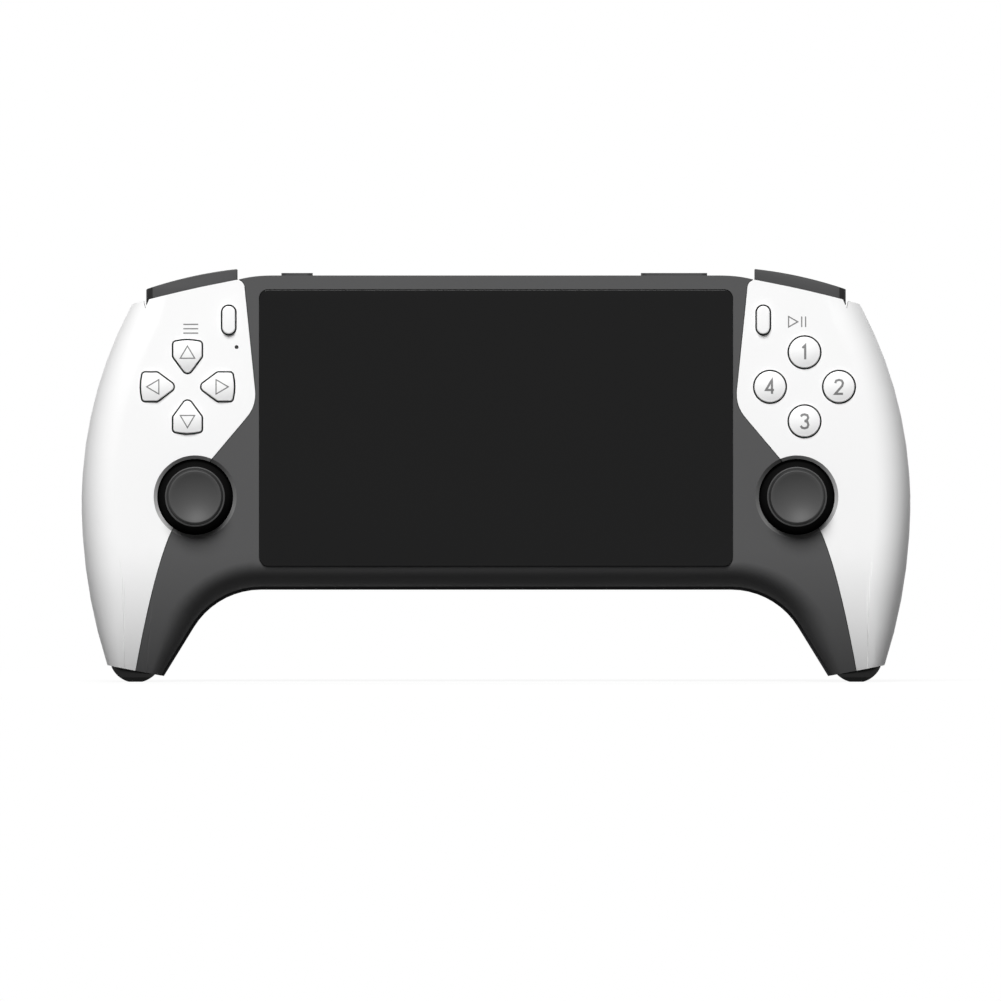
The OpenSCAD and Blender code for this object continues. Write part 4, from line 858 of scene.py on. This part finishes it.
# Thumbsticks: a turned cap with a dished top over a ball skirt
STICK_TOP = 5.0
CAP_R = 6.85
DISH_R, DISH_DEPTH = 5.7, 1.4
DISH_STEPS = 14
DISH_SHARE = 0.98  # share of the dish inside the bead
BEAD_R, BEAD_OUT = 0.2, 0.14  # bead round the dish, and how far its middle lies outside the dish
GROOVE_IN, GROOVE_DEPTH = 0.42, 0.78  # groove between the bead and the rim
RIM_R, RIM_DEPTH = 0.22, 0.95  # rim of the cap
EDGE_R, EDGE_DEPTH = 0.4, 1.4  # edge below the rim
UNDER_OUT, UNDER_DEPTH = 0.3, 1.8  # underside of the cap
NECK_R, NECK_DEPTH = 4.2, 2.1  # neck between the cap and the skirt
WELL_GAP = 0.25  # between the skirt and its opening
SKIRT_R = math.hypot(WELL_R - WELL_GAP, -WALL - PIVOT_Z)
SKIRT_T = 0.9
SKIRT_RISE = 2.5  # lower edge of the skirt above the tilting centre
BOSS_R, BOSS_RISE = 2.6, 2.6  # boss under the cap
SHADE_RING_IN = 0.3  # how far the ring of painted shade keeps off the dish and the cap's edge
STICK_SEGMENTS = 96
CRISP_TURN = math.radians(40)


def revolve(name, profile, centre):
    """A closed turned mesh about an axis out of the face; the profile starts and ends on the axis."""
    bm = bmesh.new()
    rings = []
    for r, z in profile:
        places = circle_points(*centre, r, STICK_SEGMENTS) if r > 0 else [centre]
        rings.append([bm.verts.new(row(x, y, z)) for x, y in places])
    for a, b in zip(rings, rings[1:]):
        for i in range(STICK_SEGMENTS):
            n = (i + 1) % STICK_SEGMENTS
            if len(a) == 1:
                face = (a[0], b[i], b[n])
            elif len(b) == 1:
                face = (a[i], b[0], a[n])
            else:
                face = (a[i], b[i], b[n], a[n])
            bm.faces.new(face).smooth = True
    return closed_mesh(name, bm, CRISP_TURN)


def arc(r, z, radius, start, end, steps):
    """Points of a profile along an arc about a point, between two angles in degrees."""
    made = []
    for i in range(steps + 1):
        a = math.radians(start + (end - start) * i / steps)
        made.append((r + radius * math.cos(a), z + radius * math.sin(a)))
    return made


def skirt_arc(radius, reach):
    """Points of the ball skirt, from its lower edge in to a distance from the axis."""
    low = math.degrees(math.asin(SKIRT_RISE / radius))
    high = math.degrees(math.acos(reach / radius))
    return arc(0.0, PIVOT_Z, radius, low, high, steps=12)


dish_ball = (DISH_R ** 2 + DISH_DEPTH ** 2) / (2 * DISH_DEPTH)
cap_profile = []
for i in range(DISH_STEPS + 1):
    r = DISH_R * DISH_SHARE * i / DISH_STEPS
    cap_profile.append((r, STICK_TOP - DISH_DEPTH + dish_ball - math.sqrt(dish_ball ** 2 - r * r)))
cap_profile += arc(DISH_R + BEAD_OUT, STICK_TOP - BEAD_R, BEAD_R, start=130, end=40, steps=6)
cap_profile.append((CAP_R - GROOVE_IN, STICK_TOP - GROOVE_DEPTH))
cap_profile += arc(CAP_R - RIM_R, STICK_TOP - RIM_DEPTH, RIM_R, start=120, end=0, steps=6)
cap_profile += arc(CAP_R - EDGE_R, STICK_TOP - EDGE_DEPTH, EDGE_R, start=0, end=-90, steps=4)
cap_profile.append((NECK_R + UNDER_OUT, STICK_TOP - UNDER_DEPTH))
cap_profile.append((NECK_R, STICK_TOP - NECK_DEPTH))
cap_profile += skirt_arc(SKIRT_R, NECK_R)[::-1]
cap_profile += skirt_arc(SKIRT_R - SKIRT_T, BOSS_R)
cap_profile += [(BOSS_R, PIVOT_Z + BOSS_RISE), (0, PIVOT_Z + BOSS_RISE)]
neck_y = row(0, 0, STICK_TOP - NECK_DEPTH).y
for side, s in (("left", -1), ("right", 1)):
    mesh = revolve(f"{side}_thumb_cap", cap_profile, (s * STICK[0], STICK[1]))
    for polygon in mesh.polygons:
        reach = math.hypot(polygon.center.x / MM - s * STICK[0], polygon.center.z / MM - STICK[1])
        # behind the neck: the skirt, dark plastic made near-black as painted shade in the well
        if polygon.center.y > neck_y:
            polygon.material_index = 1
        # the steep ring between the dish and the cap's edge: painted shade
        elif DISH_R + SHADE_RING_IN < reach < CAP_R - SHADE_RING_IN:
            polygon.material_index = 2
    make(f"{side}_thumb_cap", mesh, f"{side}_stick", "stick_rubber", [f"{side}_stick_cap"],
         ["stick_rubber", "skirt_black_and_painted_shade", "stick_ring_painted_shade"])


# Case screws: heads with a cross recess in the wells of the rear half, repeated by Geometry Nodes
class Recipe:
    """A Geometry Nodes tree that is built node by node, with named inputs for its sizes."""

    def __init__(self, name, sizes):
        self.tree = bpy.data.node_groups.new(name, "GeometryNodeTree")
        face = self.tree.interface
        face.new_socket("Geometry", in_out="INPUT", socket_type="NodeSocketGeometry")
        face.new_socket("Geometry", in_out="OUTPUT", socket_type="NodeSocketGeometry")
        self.keys = {}
        for size in sizes:
            socket = face.new_socket(size, in_out="INPUT", socket_type="NodeSocketFloat")
            self.keys[size] = socket.identifier
        self.start = self.tree.nodes.new("NodeGroupInput")

    def size(self, name):
        return self.start.outputs[name]

    def node(self, kind, settings=None, inputs=None):
        """Adds a node, with its settings and the values or links of its sockets."""
        made = self.tree.nodes.new(kind)
        for key, value in (settings or {}).items():
            setattr(made, key, value)
        for key, value in (inputs or {}).items():
            for item in value if isinstance(value, list) else [value]:
                if isinstance(item, bpy.types.NodeSocket):
                    self.tree.links.new(item, made.inputs[key])
                else:
                    made.inputs[key].default_value = item
        return made.outputs[0]

    def vector(self, x, y, z):
        return self.node("ShaderNodeCombineXYZ", inputs={"X": x, "Y": y, "Z": z})

    def times(self, a, b):
        return self.node("ShaderNodeMath", {"operation": "MULTIPLY"}, {0: a, 1: b})

    def raised(self, shape, height):
        """A shape moved up its own axis."""
        return self.node("GeometryNodeTransform", inputs={
            "Geometry": shape, "Translation": self.vector(0.0, 0.0, height)})

    def finish(self, shape, material):
        whole = self.node("GeometryNodeRealizeInstances", inputs={0: shape})
        coated = self.node("GeometryNodeSetMaterial", inputs={"Geometry": whole, "Material": material})
        self.tree.links.new(coated, self.tree.nodes.new("NodeGroupOutput").inputs[0])

    def grow(self, name, points, sizes):
        """A plain mesh: the tree run on the given points with the given sizes."""
        base = bpy.data.meshes.new(name)
        base.from_pydata(points, [], [])
        worker = link(name, base)
        modifier = worker.modifiers.new(name, "NODES")
        modifier.node_group = self.tree
        for key, value in sizes.items():
            modifier[self.keys[key]] = value
        graph = bpy.context.evaluated_depsgraph_get()
        mesh = bpy.data.meshes.new_from_object(worker.evaluated_get(graph), depsgraph=graph)
        bpy.data.objects.remove(worker)
        return mesh


SCREW_SIZES = {
    "Head Radius": 2.0 * MM,
    "Head Height": 1.3 * MM,
    "Shaft Radius": 1.0 * MM,
    "Shaft Length": 11.0 * MM,
    "Recess Width": 0.62 * MM,
    "Recess Depth": 0.75 * MM,
    "Turn": 0.7,
}
HEAD_SIDES, SHAFT_SIDES = 40, 24
RECESS_SPAN = 1.15  # length of the recess for a head's radius of 1
SCREW_X = X_GLASS - 2.2
SCREW_HIGH, SCREW_LOW = Y_TOP - 9.5, 29.6
GRIP_SCREW = (END_IN[0] - 0.6, END_IN[1] + 11.6)
SCREW_SEAT = -16.3
SCREW_ROUNDING = 0.16


def screw_recipe():
    """One screw at each point, its head to the rear, each turned a step further than the last."""
    r = Recipe("cross_screw", SCREW_SIZES)
    head_r, head_h = r.size("Head Radius"), r.size("Head Height")
    shaft_r, shaft_l = r.size("Shaft Radius"), r.size("Shaft Length")
    arm_w, arm_l = r.size("Recess Width"), r.times(head_r, RECESS_SPAN)
    arm_h = r.times(r.size("Recess Depth"), 2.0)
    head = r.node("GeometryNodeMeshCylinder", inputs={
        "Vertices": HEAD_SIDES, "Radius": head_r, "Depth": head_h})
    arms = []
    for size in (r.vector(arm_l, arm_w, arm_h), r.vector(arm_w, arm_l, arm_h)):
        arms.append(r.raised(r.node("GeometryNodeMeshCube", inputs={"Size": size}), head_h))
    head = r.node("GeometryNodeMeshBoolean", {"operation": "DIFFERENCE", "solver": "EXACT"},
                  {"Mesh 1": r.raised(head, r.times(head_h, 0.5)), "Mesh 2": arms})
    shaft = r.node("GeometryNodeMeshCylinder", inputs={
        "Vertices": SHAFT_SIDES, "Radius": shaft_r, "Depth": shaft_l})
    shaft = r.raised(shaft, r.times(shaft_l, -0.5))
    screw = r.node("GeometryNodeJoinGeometry", inputs={"Geometry": [head, shaft]})
    screw = r.node("GeometryNodeTransform", inputs={
        "Geometry": screw, "Rotation": (-math.pi / 2, 0.0, 0.0)})
    turn = r.times(r.node("GeometryNodeInputIndex"), r.size("Turn"))
    r.finish(r.node("GeometryNodeInstanceOnPoints", inputs={
        "Points": r.size("Geometry"), "Instance": screw, "Rotation": r.vector(0.0, turn, 0.0)}),
        finishes["screw_steel"])
    return r


screw_places = [(SCREW_X, SCREW_HIGH), (SCREW_X, SCREW_LOW), GRIP_SCREW]
screw_points = [row(s * x, y, SCREW_SEAT) for x, y in screw_places for s in (-1, 1)]
screw_mesh = screw_recipe().grow("case_screw_set", screw_points, SCREW_SIZES)
screw_mesh.materials.clear()
screw_set = make("case_screw_set", screw_mesh, "console", "screw_steel", ["case_screws"])
round_edges(screw_set, SCREW_ROUNDING, segments=2, angle=40, harden=False)

# Floor, background and light
FLOOR = 6.0  # half the floor's side, in metres
FLOOR_LIT, FLOOR_SEEN = 0.12, 0.8  # shade of the floor as it lights the object, and as it is seen
WHITE_NEAR, WHITE_FAR = 0.1, 0.6  # distances between which the floor fades to plain white
WHITE_LEAST = 0.88  # share of plain white next to the object
AMBIENT = 0.08  # strength of the surroundings as light
AIM = (0, 0, 0.05)  # where the lamps look, about the middle of the object


def seen_directly(finish):
    """1 for rays from the camera, a mirror or a glass, and 0 for the rest."""
    kinds = ("Is Camera Ray", "Is Glossy Ray", "Is Transmission Ray")
    camera_ray, glossy, through = [finish.node("ShaderNodeLightPath", output=kind) for kind in kinds]
    return finish.math("MAXIMUM", finish.math("MAXIMUM", camera_ray, glossy), through)


def floor_paint():
    """Pale paint that keeps the object's shadow and fades to plain white away from it."""
    f = Finish("floor_paint")
    seen = seen_directly(f)
    matt = f.node("ShaderNodeBsdfDiffuse", inputs={
        "Color": f.blend(seen, grey(FLOOR_LIT), grey(FLOOR_SEEN))})
    bright = f.node("ShaderNodeEmission", inputs={"Color": grey(1.0), "Strength": 1.0})
    spot = f.node("ShaderNodeTexCoord", output="Object")
    away = f.node("ShaderNodeVectorMath", {"operation": "LENGTH"}, {0: spot}, "Value")
    white = f.node("ShaderNodeMapRange", {"interpolation_type": "SMOOTHSTEP"}, {
        "Value": away, "From Min": WHITE_NEAR, "From Max": WHITE_FAR, "To Min": WHITE_LEAST, "To Max": 1.0})
    return f.end(f.node("ShaderNodeMixShader", inputs={0: seen * white, 1: matt, 2: bright}))


def softbox(name, place, size, watts):
    """A rectangular lamp that looks at the object."""
    light = bpy.data.lights.new(name, "AREA")
    light.shape = "RECTANGLE"
    light.size, light.size_y = size
    light.energy = watts
    lamp = link(name, light)
    lamp.location = place
    lamp.rotation_euler = (Vector(AIM) - Vector(place)).to_track_quat("-Z", "Y").to_euler()


floor_mesh = bpy.data.meshes.new("floor")
floor_corners = [(-FLOOR, -FLOOR, 0), (FLOOR, -FLOOR, 0), (FLOOR, FLOOR, 0), (-FLOOR, FLOOR, 0)]
floor_mesh.from_pydata(floor_corners, [], [(0, 1, 2, 3)])
floor_mesh.materials.append(floor_paint())
link("floor", floor_mesh)

world = bpy.data.worlds.new("studio")
world.use_nodes = True
bpy.context.scene.world = world
sky = Finish("studio", world.node_tree)
sky_strength = AMBIENT + seen_directly(sky) * (1 - AMBIENT)
sky_light = sky.node("ShaderNodeBackground", inputs={"Color": grey(1.0), "Strength": sky_strength})
sky.end(sky_light, "ShaderNodeOutputWorld")

softbox("key_light", place=(-0.22, -1.54, 1.6), size=(1.0, 1.0), watts=69.0)
softbox("rear_light", place=(0.2, 1.6, 1.2), size=(1.2, 0.8), watts=26.0)

bpy.context.scene.view_settings.view_transform = "Standard"
